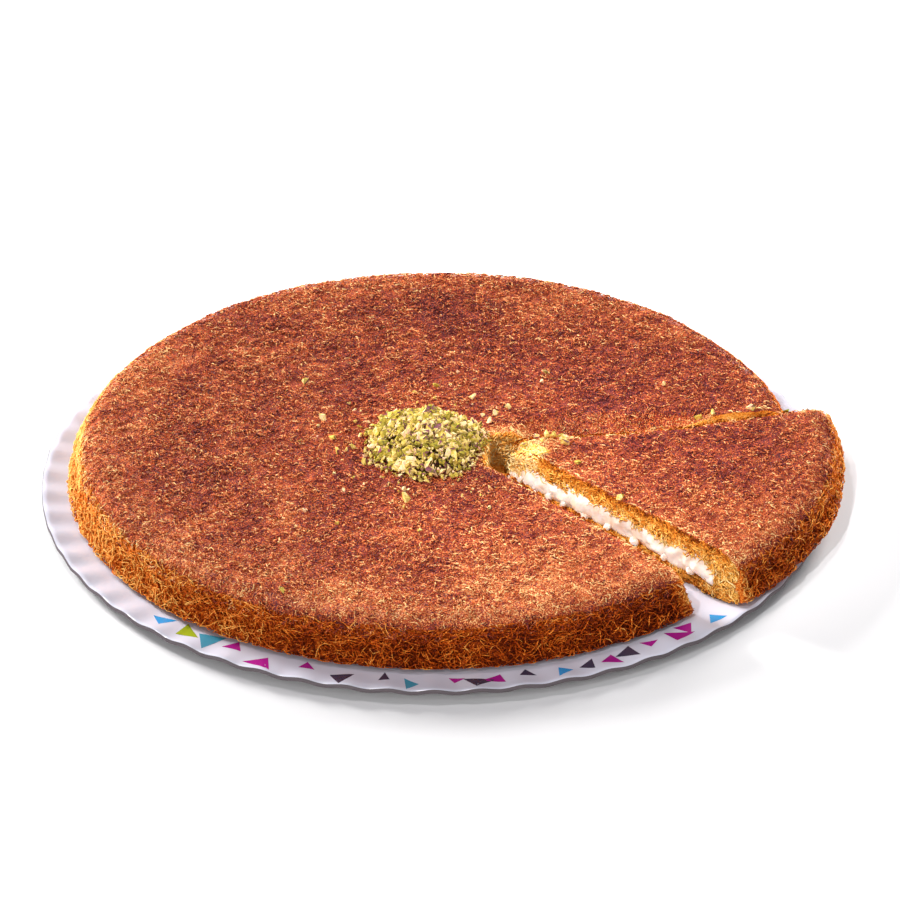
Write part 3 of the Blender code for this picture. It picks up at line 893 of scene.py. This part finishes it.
def kept_stretch(paths, inside):
    """Resamples each path over the stretch round its middle that lies inside. Drops the rest."""
    count, rings, _ = paths.shape
    middle = rings // 2
    grows = np.minimum.accumulate(inside[:, middle:], axis=1).sum(1) - 1 + middle
    shrinks = middle - (np.minimum.accumulate(inside[:, middle::-1], axis=1).sum(1) - 1)
    good = inside[:, middle] & (grows - shrinks >= 2)
    spot = shrinks[:, None] + (grows - shrinks)[:, None] * np.linspace(0, 1, rings)
    low = np.clip(np.floor(spot).astype(int), 0, rings - 2)
    rows = np.arange(count)[:, None]
    blend = (spot - low)[..., None]
    return mix(paths[rows, low], paths[rows, low + 1], blend)[good], good


print("tube of five rings and three sides has", 4 * 3 * 2 + 2, "triangles")


# %% Shreds on the browned top
def plan_of(sheet, centre):
    """Plan point under a point of the unrolled sheet."""
    arc = np.hypot(sheet[..., 0], sheet[..., 1])
    radius = np.interp(arc, PROFILE_ARC, PROFILE_RADIUS)
    return centre + sheet * (radius / np.maximum(arc, 1e-9))[..., None]


def sheet_points(rng, count, inner, outer):
    """Random points spread evenly over the ring of the unrolled sheet between two distances."""
    arc = np.sqrt(mix(inner**2, outer**2, rng.random(count)))
    angle = rng.random(count) * 2 * math.pi
    return np.stack([np.cos(angle), np.sin(angle)], -1) * arc[:, None]


def shreds(name, rng, middles, settings, centre, shrink, inside, seed, finish):
    """One joined piece of shreds lying on the unrolled skin round the given middles."""
    heading, length, bend, wave, base, arch, thick, rings, sides, bake_shift = settings
    paths = curls(rng, middles, heading, length, rings, bend, wave)
    level = np.interp(np.hypot(paths[..., 0], paths[..., 1]), PROFILE_ARC, PROFILE_LEVEL)
    above = np.clip((level - FOOD_FLOOR) / ROUND_HEIGHT, 0, 1)
    reach = inside(plan_of(paths, centre), above) + rng.uniform(-0.3, 0.8, (len(paths), 1)) * MM
    paths, good = kept_stretch(paths, reach > 0)
    base, arch, thick = base[good], arch[good], thick[good]
    share = np.linspace(0, 1, rings)
    height = base[:, None] + arch[:, None] * np.sin(math.pi * share)
    place, normal = skin_point(paths, height, centre, shrink, seed)
    taper = 1 - 0.45 * np.abs(2 * share - 1) ** 3
    points, faces = tubes(place, normal, thick[:, None] / 2 * taper, sides)
    arc = np.hypot(paths[..., 0], paths[..., 1])
    plan = plan_of(paths, centre)
    edge = 1 - smooth(inside(plan).mean(1) / (4 * MM))
    bake_and_light = bake_and_light_at(plan, arc).mean(1) + bake_shift[good] - 0.5 * edge
    # Shreds lying higher are painted paler and lower ones darker: painted light and shade in the tangle.
    bake_and_light = bake_and_light[:, None] + 0.4 * (0.1 * MM - height) / MM
    marks = {
        "bake_and_light": np.repeat(bake_and_light, sides, axis=1),
        "shade": np.repeat(rng.random(len(paths)), rings * sides),
    }
    return piece_from(name, points, faces, finish, (), marks)


def top_shreds(name, rng, count, inner, outer, centre, shrink, inside, seed):
    middles = sheet_points(rng, count, inner * MM, outer * MM)
    middles = middles[inside(plan_of(middles, centre)) > 0]
    count = len(middles)
    settings = (
        rng.random(count) * 2 * math.pi,
        rng.uniform(2.0, 4.6, count) * MM,
        rng.normal(0, 2.4, count),
        rng.uniform(0.1, 0.5, count),
        rng.uniform(-0.2, 0.2, count) * MM,
        rng.uniform(0.05, 0.55, count) * MM,
        rng.uniform(0.38, 0.6, count) * MM,
        4,
        3,
        rng.normal(0, 0.12, count),
    )
    return shreds(
        name, rng, middles, settings, centre, shrink, inside, seed, crisp_top
    )


rng = np.random.default_rng(2024)
SHARE = 1.0
for part_name, inner, outer, count in (
    ("shreds_top_middle", 0, 88, 9200),
    ("shreds_top_outer", 88, 122, 8800),
    ("shreds_top_rim", 122, 153, 9300),
):
    top_shreds(
        part_name, rng, int(count * SHARE), inner, outer, ORIGIN, sag_share, inside_body, 1.0
    )
top_shreds(
    "shreds_slice_top", rng, int(27000 * SHARE), 0, 153, SLICE_CENTRE, tip_share, inside_slice, 7.0
)


# %% Shreds of the side
def side_shreds(name, rng, count, centre, shrink, inside, seed):
    """Long shreds round the side: most run along it, some curl in loops and stand out."""
    middles = sheet_points(rng, count, 149 * MM, SKIN_REACH + 0.6 * MM)
    middles = middles[inside(plan_of(middles, centre), 0.3) > 0]
    count = len(middles)
    around = np.arctan2(middles[:, 1], middles[:, 0]) + math.pi / 2
    low = smooth((np.hypot(*middles.T) - 150 * MM) / (10 * MM))
    loops = rng.random(count) < 0.15 + 0.45 * low
    settings = (
        around + rng.normal(0, 0.5, count) + loops * rng.uniform(0, 2 * math.pi, count),
        rng.uniform(4, 10, count) * MM,
        np.where(loops, rng.normal(0, 1, count) * 3.0, rng.normal(0, 0.8, count)),
        rng.uniform(0.1, 0.4, count),
        rng.uniform(-0.3, 0.2, count) * MM,
        rng.uniform(0.1, 0.7, count) * MM * (1 + low),
        rng.uniform(0.38, 0.6, count) * MM,
        5,
        3,
        rng.normal(0.05, 0.1, count),
    )

    def on_side(plan, above=1.0):
        away = np.hypot(plan[..., 0] - centre[0], plan[..., 1] - centre[1])
        return np.minimum(inside(plan, above), away - 145.5 * MM)

    return shreds(
        name, rng, middles, settings, centre, shrink, on_side, seed, crisp_side
    )


side_shreds("shreds_side_first", rng, int(4300 * SHARE), ORIGIN, sag_share, inside_body, 1.0)
side_shreds("shreds_side_second", rng, int(4300 * SHARE), ORIGIN, sag_share, inside_body, 1.0)
side_shreds(
    "shreds_slice_side", rng, int(8500 * SHARE), SLICE_CENTRE, tip_share, inside_slice, 7.0
)


# %% [markdown]
# ### Cut faces
# A knife tears shreds rather than cutting them clean, so the cut faces are rough. They are paler
# than the skin and golden, brown under the top, and the slice's tip is nearly the colour of dough.
# The same tubes serve, drawn on the upright plane of each cut in place of the unrolled skin.

# %% Shreds of the cut faces
def wall_shreds(name, rng, count, wall, centre, shrink, run, levels, bakes, stand):
    """Short shreds over a cut face, drawn in its own plane of (distance along, level).

    A place is start + along * distance + outward * (lean of the cut + bulge + stand). The bake
    comes from a table over the level, and shreds that stand further out are painted paler, as
    painted light. Shreds that would leave the round's outline are dropped.
    """
    start, along, side, lean, bulge = wall
    middles = np.stack([rng.uniform(*run, count), rng.uniform(*levels, count)], -1) * MM
    heading = rng.normal(0, 0.9, count)
    length = rng.uniform(2.5, 7.0, count) * MM
    bend, rings = rng.normal(0, 2.0, count), 5
    paths = curls(rng, middles, heading, length, rings, bend, np.full(count, 0.4))
    level = np.clip(paths[..., 1], FOOD_FLOOR + 0.4 * MM, FOOD_TOP + 0.2 * MM)
    share = np.linspace(0, 1, rings)
    arch = rng.uniform(0.1, 1.0, (count, 1)) * MM * np.sin(math.pi * share)
    above = (level - FOOD_FLOOR) / ROUND_HEIGHT
    rise = rng.uniform(*stand, (count, 1)) * MM
    push = lean * (1 - above) + np.interp(paths[..., 0], *bulge) + rise + arch
    push = push + ragged(start + along * paths[..., :1], level, 7.0)
    outward = np.array([-along[1], along[0]]) * side
    plan = start + along * paths[..., :1] + outward * push[..., None]
    limit = np.interp(level, PROFILE_LEVEL[::-1], PROFILE_RADIUS[::-1])
    limit = np.maximum(limit, EDGE_ARC) - 0.6 * MM
    kept = (np.hypot(*np.moveaxis(plan - centre, -1, 0)) < limit).all(1)
    place = settled(plan, level, shrink)[kept]
    normal = np.broadcast_to(np.append(outward, 0.0), place.shape)
    thick = rng.uniform(0.42, 0.7, (kept.sum(), 1)) / 2 * MM * np.ones(rings)
    points, faces = tubes(place, normal, thick, 3)
    bake_and_light = np.interp(level[kept], np.array(bakes[0]) * MM, bakes[1])
    # Shreds standing further out of the cut are painted paler: painted light.
    bake_and_light = bake_and_light + rng.normal(0, 0.12, (len(place), 1)) - 0.15 * arch[kept] / MM
    marks = {
        "bake_and_light": np.repeat(bake_and_light, 3, axis=1),
        "shade": np.repeat(rng.random(len(place)), rings * 3),
    }
    return piece_from(name, points, faces, soft_inside, (), marks)


UPPER_BAKES = ((3.0, 12.0, 14.5, 18.6, 20.4, 21.3), (0.5, 0.14, 0.38, 0.56, 0.8, 0.95))
OUTER_BAKES = ((3.0, 8.0, 15.0), (0.6, 0.36, 0.4))
LOWER_BAKES = ((2.0, 4.0, 7.0), (0.9, 0.66, 0.45))
TIP_BAKES = ((8.0, 13.0, 19.0, 21.5), (0.3, 0.0, 0.04, 0.3))
HOLLOW_BAKES = ((2.0, 6.0, 16.0, 20.0, 21.0), (0.5, 0.24, 0.24, 0.44, 0.6))
near_wall, far_wall = SLICE_WALLS
body_near, body_far = BODY_WALLS
blunt_low = NOTCH_APEX + NOTCH_NEAR * NOTCH_NEAR_START
blunt_high = NOTCH_APEX + NOTCH_FAR * NOTCH_FAR_START
blunt_run = float(np.hypot(*(blunt_high - blunt_low))) / MM
blunt_wall = (blunt_low, (blunt_high - blunt_low) / (blunt_run * MM), -1, 0.0, NO_BULGE)
for part_name, count, wall, run, levels, bakes, stand in (
    ("shreds_cut_upper", 1900, near_wall, (3, 138), (15.2, 20.8), UPPER_BAKES, (-0.3, 0.9)),
    ("shreds_cut_fringe", 240, near_wall, (3, 138), (13.4, 16.2), UPPER_BAKES, (0.6, 1.7)),
    ("shreds_cut_lower", 650, near_wall, (2, 138), (2.6, 6.6), LOWER_BAKES, (-0.3, 0.9)),
    ("shreds_cut_outer", 420, near_wall, (112, 138), (3.0, 15.0), OUTER_BAKES, (-0.3, 1.2)),
    ("shreds_cut_tip", 620, near_wall, (0, 15), (9, 21.0), TIP_BAKES, (-0.6, 1.2)),
    ("shreds_tip_top", 300, near_wall, (1, 13), (19.4, 21.2), TIP_BAKES, (-7.5, -0.3)),
    ("shreds_cut_far", 450, far_wall, (2, 130), (14.0, 20.8), UPPER_BAKES, (-0.3, 0.5)),
    ("shreds_body_near", 600, body_near, (28, 150), (12.6, 20.8), UPPER_BAKES, (-0.3, 0.5)),
    ("shreds_body_far", 420, body_far, (18, 55), (11.0, 20.8), HOLLOW_BAKES, (-0.3, 0.9)),
    ("shreds_hollow", 450, body_far, (16, 42), (3.0, 14.0), HOLLOW_BAKES, (0.4, 1.8)),
    ("shreds_blunt_end", 600, blunt_wall, (0, blunt_run), (3, 20.8), HOLLOW_BAKES, (-0.3, 1.4)),
):
    on_slice = wall is near_wall or wall is far_wall
    place_of, shrink = (SLICE_CENTRE, tip_share) if on_slice else (ORIGIN, sag_share)
    wall_shreds(
        part_name, rng, int(count * SHARE), wall, place_of, shrink, run, levels, bakes, stand
    )


# %% [markdown]
# ### Drips of cream
# The knife pulled some cream down over the base. Each drip is one fat, short tube, thin at its ends.

# %% Drips of cream
def cream_drips(drips):
    """Tapered drops down the near cut, each from (distance along, top level, length, width) in mm."""
    start, along, side, lean, _ = near_wall
    run, top, length, width = np.array(drips).T[..., None]
    share = np.linspace(0, 1, 9)
    level = (top - length * share) * MM
    sway = 0.5 * np.sin(5 * share + run)
    push = lean * (1 - (level - FOOD_FLOOR) / ROUND_HEIGHT) + (1.6 - 0.5 * share) * MM
    outward = np.array([-along[1], along[0]]) * side
    plan = start + along * ((run + sway) * MM)[..., None] + outward * push[..., None]
    place = settled(plan, level, tip_share)
    normal = np.broadcast_to(np.append(outward, 0.0), place.shape)
    thick = width / 2 * MM * np.sqrt(np.maximum(1 - (1.9 * share - 0.9) ** 4, 0.05))
    points, faces = tubes(place, normal, thick, 8)
    return piece_from("cream_drips", points, faces, cream_finish)


cream_drips(
    [
        (2.0, 11.5, 6.5, 2.0), (4.4, 12.0, 4.5, 2.6), (7.5, 11.0, 5.0, 2.2), (11.0, 11.0, 3.0, 3.2),
        (16.5, 10.0, 4.2, 2.4), (24.0, 9.5, 2.6, 3.4), (33.0, 9.6, 3.2, 2.6), (45.0, 9.2, 2.4, 3.6),
        (58.0, 9.6, 2.8, 3.0), (73.0, 9.4, 2.4, 3.4), (90.0, 9.6, 2.6, 2.8), (104.0, 9.4, 2.2, 3.2),
    ]
)

# %% [markdown]
# ## The tray
# Cake trays are pressed from grey board with a glossy white film on top. The rim is fluted, so its
# edge waves, and the bare board shows there as a grey line. The surface is a profile carried round
# the middle: height = (rise + flute * cos(60 angle)) * s^1.5, with s from 0 to 1 across the rim.

# %% Tray surface
film, _, film_shader = new_material("white laminated board, glossy film")
film_shader.inputs["Base Color"].default_value = linear("#D2D2E0")
film_shader.inputs["Roughness"].default_value = 0.22
grey_board, _, grey_shader = new_material("bare greyboard, cut edge")
grey_shader.inputs["Base Color"].default_value = linear("#5E565A")
grey_shader.inputs["Roughness"].default_value = 0.8


def tray_level(x, y):
    """Height of the tray's upper face at a point."""
    radius = np.hypot(x, y)
    share = rim_share(radius)
    flute = FLUTE_DEPTH * np.cos(FLUTE_COUNT * np.arctan2(y, x))
    return TRAY_THICKNESS + (RIM_RISE + flute) * share**1.5


def tray_mesh():
    """Rings from the middle outwards over the top, round the edge and back along the bottom."""
    steps = FLUTE_COUNT * 12
    upper = np.concatenate([[20, 60, 100, 130], np.linspace(138, 163.8, 12)]) * MM
    rows = [(r, 0.0) for r in upper] + [(TRAY_RADIUS, 0.2 * MM), (TRAY_RADIUS, 1.6 * MM)]
    rows += [(r, TRAY_THICKNESS) for r in upper[::-1]]
    angle = 2 * math.pi * np.arange(steps) / steps
    rings = []
    for radius, drop in rows:
        x, y = radius * np.cos(angle), radius * np.sin(angle)
        rings.append(np.stack([x, y, tray_level(x, y) - drop], -1))
    points = np.concatenate([[[0, 0, TRAY_THICKNESS]], *rings, [[0, 0, 0]]])
    number = 1 + np.arange(len(rows) * steps).reshape(len(rows), steps)
    after = np.roll(number, -1, axis=1)
    quads = np.stack([number[:-1], number[1:], after[1:], after[:-1]], -1).reshape(-1, 4)
    first = np.stack([np.zeros(steps, int), number[0], after[0]], -1)
    last = np.stack([number[-1], np.full(steps, len(points) - 1), after[-1]], -1)
    return points, [quads, first, last], len(upper)


tray_points, tray_faces, top_rows = tray_mesh()
tray = piece_from("laminated_tray", tray_points, tray_faces, film, ("tray",))
tray.data.materials.append(grey_board)
steps_round = FLUTE_COUNT * 12
row_of = np.zeros(len(tray.data.polygons), int)
quad_count = len(tray_faces[0])
row_of[:quad_count] = np.arange(quad_count) // steps_round
row_of[quad_count + steps_round :] = 99
tray.data.polygons.foreach_set("material_index", (row_of >= top_rows - 1).astype(np.int32))
print("tray rows with bare board start at", top_rows - 1)

# %% [markdown]
# ### Print on the film
# The film carries a light scatter of coloured triangles near the rim. Ink has no thickness that the
# eye could see, so each motif is a very thin closed sheet, a twentieth of a millimetre proud of the
# film. It is split into 16 triangles, so that it bends with the flutes.

# %% Print of the tray
PRINT_COLOURS = (
    ("#1C92D2", "blue"),
    ("#A51A86", "magenta"),
    ("#94A422", "lime"),
    ("#37364C", "slate"),
    ("#3C93AE", "teal"),
)


def motif(rng, azimuth, radius, size):
    """A triangle on the tray's face as a closed sheet: points = weights (i, j, 4 - i - j) / 4 * corners.

    An upper and a lower sheet of 16 triangles each, the lower one sunk in the film, and a strip
    between the two.
    """
    turn = rng.uniform(0, 2 * math.pi) + np.array([0, 2.2, 4.2])
    reach = size * rng.uniform([0.5, 0.35, 0.3], [0.65, 0.6, 0.55])
    middle = direction(azimuth) * radius
    corners = middle + np.stack([np.cos(turn), np.sin(turn)], -1) * reach[:, None]
    grid = [(i, j) for i in range(5) for j in range(5 - i)]
    weights = np.array([(i, j, 4 - i - j) for i, j in grid]) / 4
    flat = weights @ corners
    number = {spot: k for k, spot in enumerate(grid)}
    faces = []
    for i, j in grid:
        if i + j < 4:
            faces.append((number[i, j], number[i + 1, j], number[i, j + 1]))
        if i + j < 3:
            faces.append((number[i + 1, j], number[i + 1, j + 1], number[i, j + 1]))
    rim = [(i, 0) for i in range(4)] + [(4 - j, j) for j in range(4)] + [(0, 4 - j) for j in range(4)]
    loop = np.array([number[spot] for spot in rim])
    after, count = np.roll(loop, -1), len(grid)
    faces = np.array(faces)
    strip = np.stack([loop, loop + count, after + count, after], -1)
    level = tray_level(flat[:, 0], flat[:, 1])
    points = np.concatenate([flat, flat])
    heights = np.concatenate([level + 0.05 * MM, level - 0.05 * MM])
    solid = np.concatenate([points, heights[:, None]], -1)
    return solid, faces, faces[:, ::-1] + count, strip


def print_on_tray(rng, sites):
    """One piece for each colour, from motifs as (azimuth in degrees, radius in mm, size in mm)."""
    kinds = rng.choice(len(PRINT_COLOURS), len(sites), p=(0.3, 0.25, 0.08, 0.25, 0.12))
    for kind, (colour, word) in enumerate(PRINT_COLOURS):
        ink, _, ink_shader = new_material(f"printing ink under film, {word}")
        ink_shader.inputs["Base Color"].default_value = linear(colour)
        ink_shader.inputs["Roughness"].default_value = 0.25
        points, triangles, quads, start = [], [], [], 0
        for azimuth, radius, size in sites[kinds == kind]:
            solid, upper, lower, strip = motif(rng, azimuth, radius * MM, size * MM)
            points.append(solid)
            triangles += [upper + start, lower + start]
            quads.append(strip + start)
            start += len(solid)
        faces = [np.concatenate(triangles), np.concatenate(quads)]
        piece = piece_from(f"print_{word}", np.concatenate(points), faces, ink)
        piece.data.shade_flat()


print_rng = np.random.default_rng(5)
azimuths = np.concatenate(
    [np.arange(226, 241, 4.6), np.arange(246, 262, 5.5), np.arange(264, 318, 3.9)]
    + [np.arange(324, 340, 5), np.arange(12, 150, 7)]
)
azimuths = azimuths + print_rng.uniform(-1.2, 1.2, len(azimuths))
radii = print_rng.uniform(152, 158, len(azimuths))
sites = np.stack([azimuths, radii, print_rng.uniform(7.0, 12.5, len(azimuths))], -1)
print_on_tray(print_rng, sites)

# %% [markdown]
# ## Pistachio
# Raw pistachios chopped with a knife: angular bits of yellow-green flesh, some still under their
# dark green or purple skin. Each bit is the hull of a few random points on a ball, stretched and
# turned. Most of its flat faces show pale flesh, and a few keep the skin.

# %% Pistachio materials
nut_finish, nut_tree, nut_shader = new_material("chopped pistachio flesh and skin")
nut_tone = add_node(nut_tree, "ShaderNodeAttribute", attribute_name="shade")
nut_coords = add_node(nut_tree, "ShaderNodeTexCoord")
nut_grain = add_node(
    nut_tree,
    "ShaderNodeTexNoise",
    {"Vector": nut_coords.outputs["Object"], "Scale": 1 / (1.2 * MM), "Detail": 2.0},
)
nut_mottle = add_node(
    nut_tree, "ShaderNodeMath", {0: nut_grain.outputs[0], 1: 1.1, 2: -0.55}, operation="MULTIPLY_ADD"
)
nut_total = add_node(
    nut_tree, "ShaderNodeMath", {0: nut_tone.outputs["Fac"], 1: nut_mottle.outputs[0]}
)
nut_ramp = add_node(
    nut_tree,
    "ShaderNodeValToRGB",
    {"Fac": nut_total.outputs[0]},
    (
        (0.0, "#84465C"),
        (0.08, "#5A5020"),
        (0.2, "#96892E"),
        (0.4, "#B8A03E"),
        (0.65, "#D8BC66"),
        (0.86, "#F2DCA2"),
        (1.0, "#F0BE9C"),
    ),
)
nut_tree.links.new(nut_ramp.outputs["Color"], nut_shader.inputs["Base Color"])
nut_shader.inputs["Roughness"].default_value = 0.55
nut_bump = add_node(
    nut_tree,
    "ShaderNodeBump",
    {"Height": nut_grain.outputs[0], "Strength": 0.8, "Distance": 0.5 * MM},
)
nut_tree.links.new(nut_bump.outputs["Normal"], nut_shader.inputs["Normal"])


def chips(rng, kinds, corners):
    """Angular chips: convex hulls of random points on a ball, by Blender's own operator."""
    made = []
    for _ in range(kinds):
        work = bmesh.new()
        for spot in unit(rng.normal(size=(corners, 3))):
            work.verts.new(spot)
        bmesh.ops.convex_hull(work, input=work.verts)
        bmesh.ops.triangulate(work, faces=work.faces)
        work.verts.index_update()
        points = np.array([vert.co[:] for vert in work.verts])
        made.append((points, np.array([[vert.index for vert in face.verts] for face in work.faces])))
        work.free()
    return made


def bits(rng, places, sizes, tones, skins=0.16):
    """Chopped bits: chips stretched, turned and placed, with some faces still under their skin."""
    kinds = chips(rng, 14, 11)
    all_points, all_faces, all_tones, start = [], [], [], 0
    for kind, (base, faces) in enumerate(kinds):
        rows = np.arange(kind, len(places), len(kinds))
        count = len(rows)
        if not count:
            continue
        stretch = rng.uniform([1.0, 0.6, 0.42], [1.25, 1.0, 0.75], (count, 3))[:, None]
        turn = np.linalg.qr(rng.normal(size=(count, 3, 3)))[0]
        turn = turn * np.sign(np.linalg.det(turn))[:, None, None]
        points = np.einsum("nij,nkj->nki", turn, base * stretch)
        points = points * (sizes[rows] / 2)[:, None, None] + places[rows][:, None]
        all_points.append(points.reshape(-1, 3))
        step = start + len(base) * np.arange(count)
        all_faces.append((faces[None] + step[:, None, None]).reshape(-1, 3))
        tone = tones[rows][:, None] + rng.normal(0, 0.07, (count, len(faces)))
        skinned = rng.random(tone.shape) < skins * 2 * rng.random((count, 1))
        skin = rng.choice([0.0, 0.03, 0.12], (count, 1))
        all_tones.append(np.where(skinned, skin, np.maximum(tone, 0.12)).ravel())
        start += len(base) * count
    return np.concatenate(all_points), np.concatenate(all_faces), np.concatenate(all_tones)


# %% Heap of pistachio
HEAP_RADII = np.array([25.0, 26.6]) * MM
HEAP_HEIGHT = 11.2 * MM
CORE_REACH = 0.82
CORE_SHARE = 0.8
CORE_SUNK = 0.7 * MM


def heap_level(share):
    """Height of the mound at a share of its radius: h (1 - s^2)^0.8."""
    return HEAP_HEIGHT * np.maximum(1 - share**2, 0) ** 0.8


def heap_outline(angle):
    """The mound isn't quite round: its radius swells and shrinks by about a tenth round the middle."""
    return 0.97 + 0.1 * soft_noise(2.2 * np.cos(angle), 2.2 * np.sin(angle), 3.7)


def heap_places(rng, count, sizes, reach):
    """Places over the mound, evenly spread in the plan and half sunk in it."""
    share = np.sqrt(rng.random(count)) * reach
    angle = rng.random(count) * 2 * math.pi
    ray = np.stack([np.cos(angle), np.sin(angle)], -1) * HEAP_RADII
    plan = HEAP_CENTRE + ray * (share * heap_outline(angle))[:, None]
    uneven = 1.3 * soft_noise(plan[:, 0] / (8 * MM), plan[:, 1] / (8 * MM), 1.3) * MM
    level = FOOD_TOP + heap_level(share) - sizes * 0.1 + uneven + rng.uniform(-0.8, 0.5, count) * MM
    level = np.maximum(level, FOOD_TOP + sizes * 0.25)
    return np.concatenate([plan + ROUND_CENTRE, level[:, None]], -1)


def heap_core():
    """A closed mound just under the bits: rings from the middle out and one bottom point."""
    rings, steps = 8, 36
    share = np.repeat(np.arange(1, rings + 1) / rings, steps)
    angle = np.tile(2 * math.pi * np.arange(steps) / steps, rings)
    ray = np.stack([np.cos(angle), np.sin(angle)], -1) * HEAP_RADII
    plan = HEAP_CENTRE + ray * (CORE_REACH * share * heap_outline(angle))[:, None]
    level = FOOD_TOP + heap_level(share) * CORE_SHARE - CORE_SUNK
    outline = np.concatenate([plan + ROUND_CENTRE, level[:, None]], -1)
    summit = FOOD_TOP + HEAP_HEIGHT * CORE_SHARE - CORE_SUNK
    middle = np.append(HEAP_CENTRE + ROUND_CENTRE, summit)
    under = np.append(HEAP_CENTRE + ROUND_CENTRE, FOOD_TOP - 0.6 * MM)
    points = np.concatenate([outline, [middle, under]])
    number = np.arange(rings * steps).reshape(rings, steps)
    after = np.roll(number, -1, axis=1)
    quads = np.stack([number[:-1], number[1:], after[1:], after[:-1]], -1).reshape(-1, 4)
    inner = np.stack([np.full(steps, rings * steps), number[0], after[0]], -1)
    lower = np.stack([number[-1], np.full(steps, rings * steps + 1), after[-1]], -1)
    return points, [quads, inner, lower]


heap_rng = np.random.default_rng(77)
COARSE, FINE = 500, 1150
heap_sizes = np.concatenate(
    [mix(3.0, 7.2, heap_rng.random(COARSE) ** 1.8), mix(0.9, 2.8, heap_rng.random(FINE))]
) * MM
heap_spots = np.concatenate(
    [
        heap_places(heap_rng, COARSE, heap_sizes[:COARSE], 0.94),
        heap_places(heap_rng, FINE, heap_sizes[COARSE:], 1.06),
    ]
)
heap_tones = 0.14 + 0.8 * heap_rng.random(COARSE + FINE)
bit_points, bit_faces, bit_tones = bits(heap_rng, heap_spots, heap_sizes, heap_tones)
core_points, core_faces = heap_core()
core_faces = [face + len(bit_points) for face in core_faces]
# The core between the chips is painted dark brown green: painted shade in the gaps of the heap.
core_shade_tones = np.full(sum(len(face) for face in core_faces), 0.08)
heap = piece_from(
    "pistachio_bits",
    np.concatenate([bit_points, core_points]),
    [bit_faces] + core_faces,
    nut_finish,
    ("pistachio_heap",),
    {"shade": np.concatenate([bit_tones, core_shade_tones])},
)
heap.data.shade_flat()

# %% [markdown]
# ### Crumbs round the heap
# Some bits rolled off the heap. Their places are given in the plan of the round in millimetres, with
# a size, and a few more come at random close to the heap.

# %% Crumbs on the crust
CRUMBS = np.array(
    [
        (-36.7, 20.4, 2), (-9.3, 29.9, 2), (15.6, 25.9, 3), (30.9, 17.2, 3.2), (-33.8, 5, 2),
        (-28.3, 4.2, 2), (-31, -7.8, 2.4), (-24.8, -4.4, 2.4), (-12.1, 13.5, 2), (22.4, 5.1, 3.4),
        (25, 11.6, 2.4), (19.6, -5.9, 3.6), (19, 2.2, 2.6), (-12.6, -50.7, 2.2), (-11.7, -58.7, 4),
        (-3.7, -44.5, 2.4), (-29.3, -29.3, 2.6), (-26.8, -29.8, 2), (15.4, -50.3, 1.4), (21.9, -48.8, 1.4),
        (24.7, -48.8, 1.4), (-55.9, 39, 3), (-47.3, 7.7, 3.4), (-40.6, -20.5, 3), (-43, -8.6, 2.4),
        (0.1, 35.7, 2.6), (-40.9, -37.9, 2), (-52.2, -67.2, 2.2), (-39, -77.3, 2.4), (-59.3, -127.1, 2.4),
        (47.3, 47, 3), (45.4, 39.2, 2.6), (97.4, 36.7, 2.4), (116.7, 13.4, 2.8), (110.5, 12.2, 3),
        (132.8, 15.9, 3), (-34.5, -16.5, 3.2), (9.5, 47.6, 1.8), (-56.2, -10.7, 1.6), (-5.9, -82.4, 1.8),
        (22.1, -64.6, 1.6), (46.5, -6.9, 3.4), (49, -7.3, 3.2), (51.5, -7.6, 3.4), (53.1, -8.2, 3),
        (53.3, -12.9, 4.2), (58.6, -29.4, 2.8), (37.2, -11.4, 2.6), (44.2, -11.9, 2.4), (41.9, -7.4, 2.6),
        (74.6, -57, 3),
    ]
)
NEAR_CRUMBS = 70


def crumb_places(rng):
    """Places, sizes and shades of the crumbs, each sunk a little into the skin below it."""
    angle = rng.random(NEAR_CRUMBS) * 2 * math.pi
    away = 1.05 + 0.9 * rng.random(NEAR_CRUMBS) ** 2.2
    near = HEAP_CENTRE + np.stack([np.cos(angle), np.sin(angle)], -1) * HEAP_RADII * away[:, None]
    plan = np.concatenate([CRUMBS[:, :2] * MM, near])
    sizes = np.concatenate([CRUMBS[:, 2], rng.uniform(0.7, 1.9, NEAR_CRUMBS)]) * MM
    on_slice = inside_slice(plan) > -1 * MM
    kept = on_slice | (inside_body(plan) > 0)
    shrink = np.where(on_slice, tip_share(plan), sag_share(plan))
    level = FOOD_FLOOR + ROUND_HEIGHT * (1 - shrink) + sizes * 0.3
    places = np.concatenate([plan + ROUND_CENTRE, level[:, None]], -1)
    return places[kept], sizes[kept] * 1.3, 0.4 + 0.55 * rng.random(kept.sum())


crumb_points, crumb_faces, crumb_tones = bits(heap_rng, *crumb_places(heap_rng), 0.08)
crumbs = piece_from(
    "pistachio_crumbs", crumb_points, [crumb_faces], nut_finish, (), {"shade": crumb_tones}
)
crumbs.data.shade_flat()
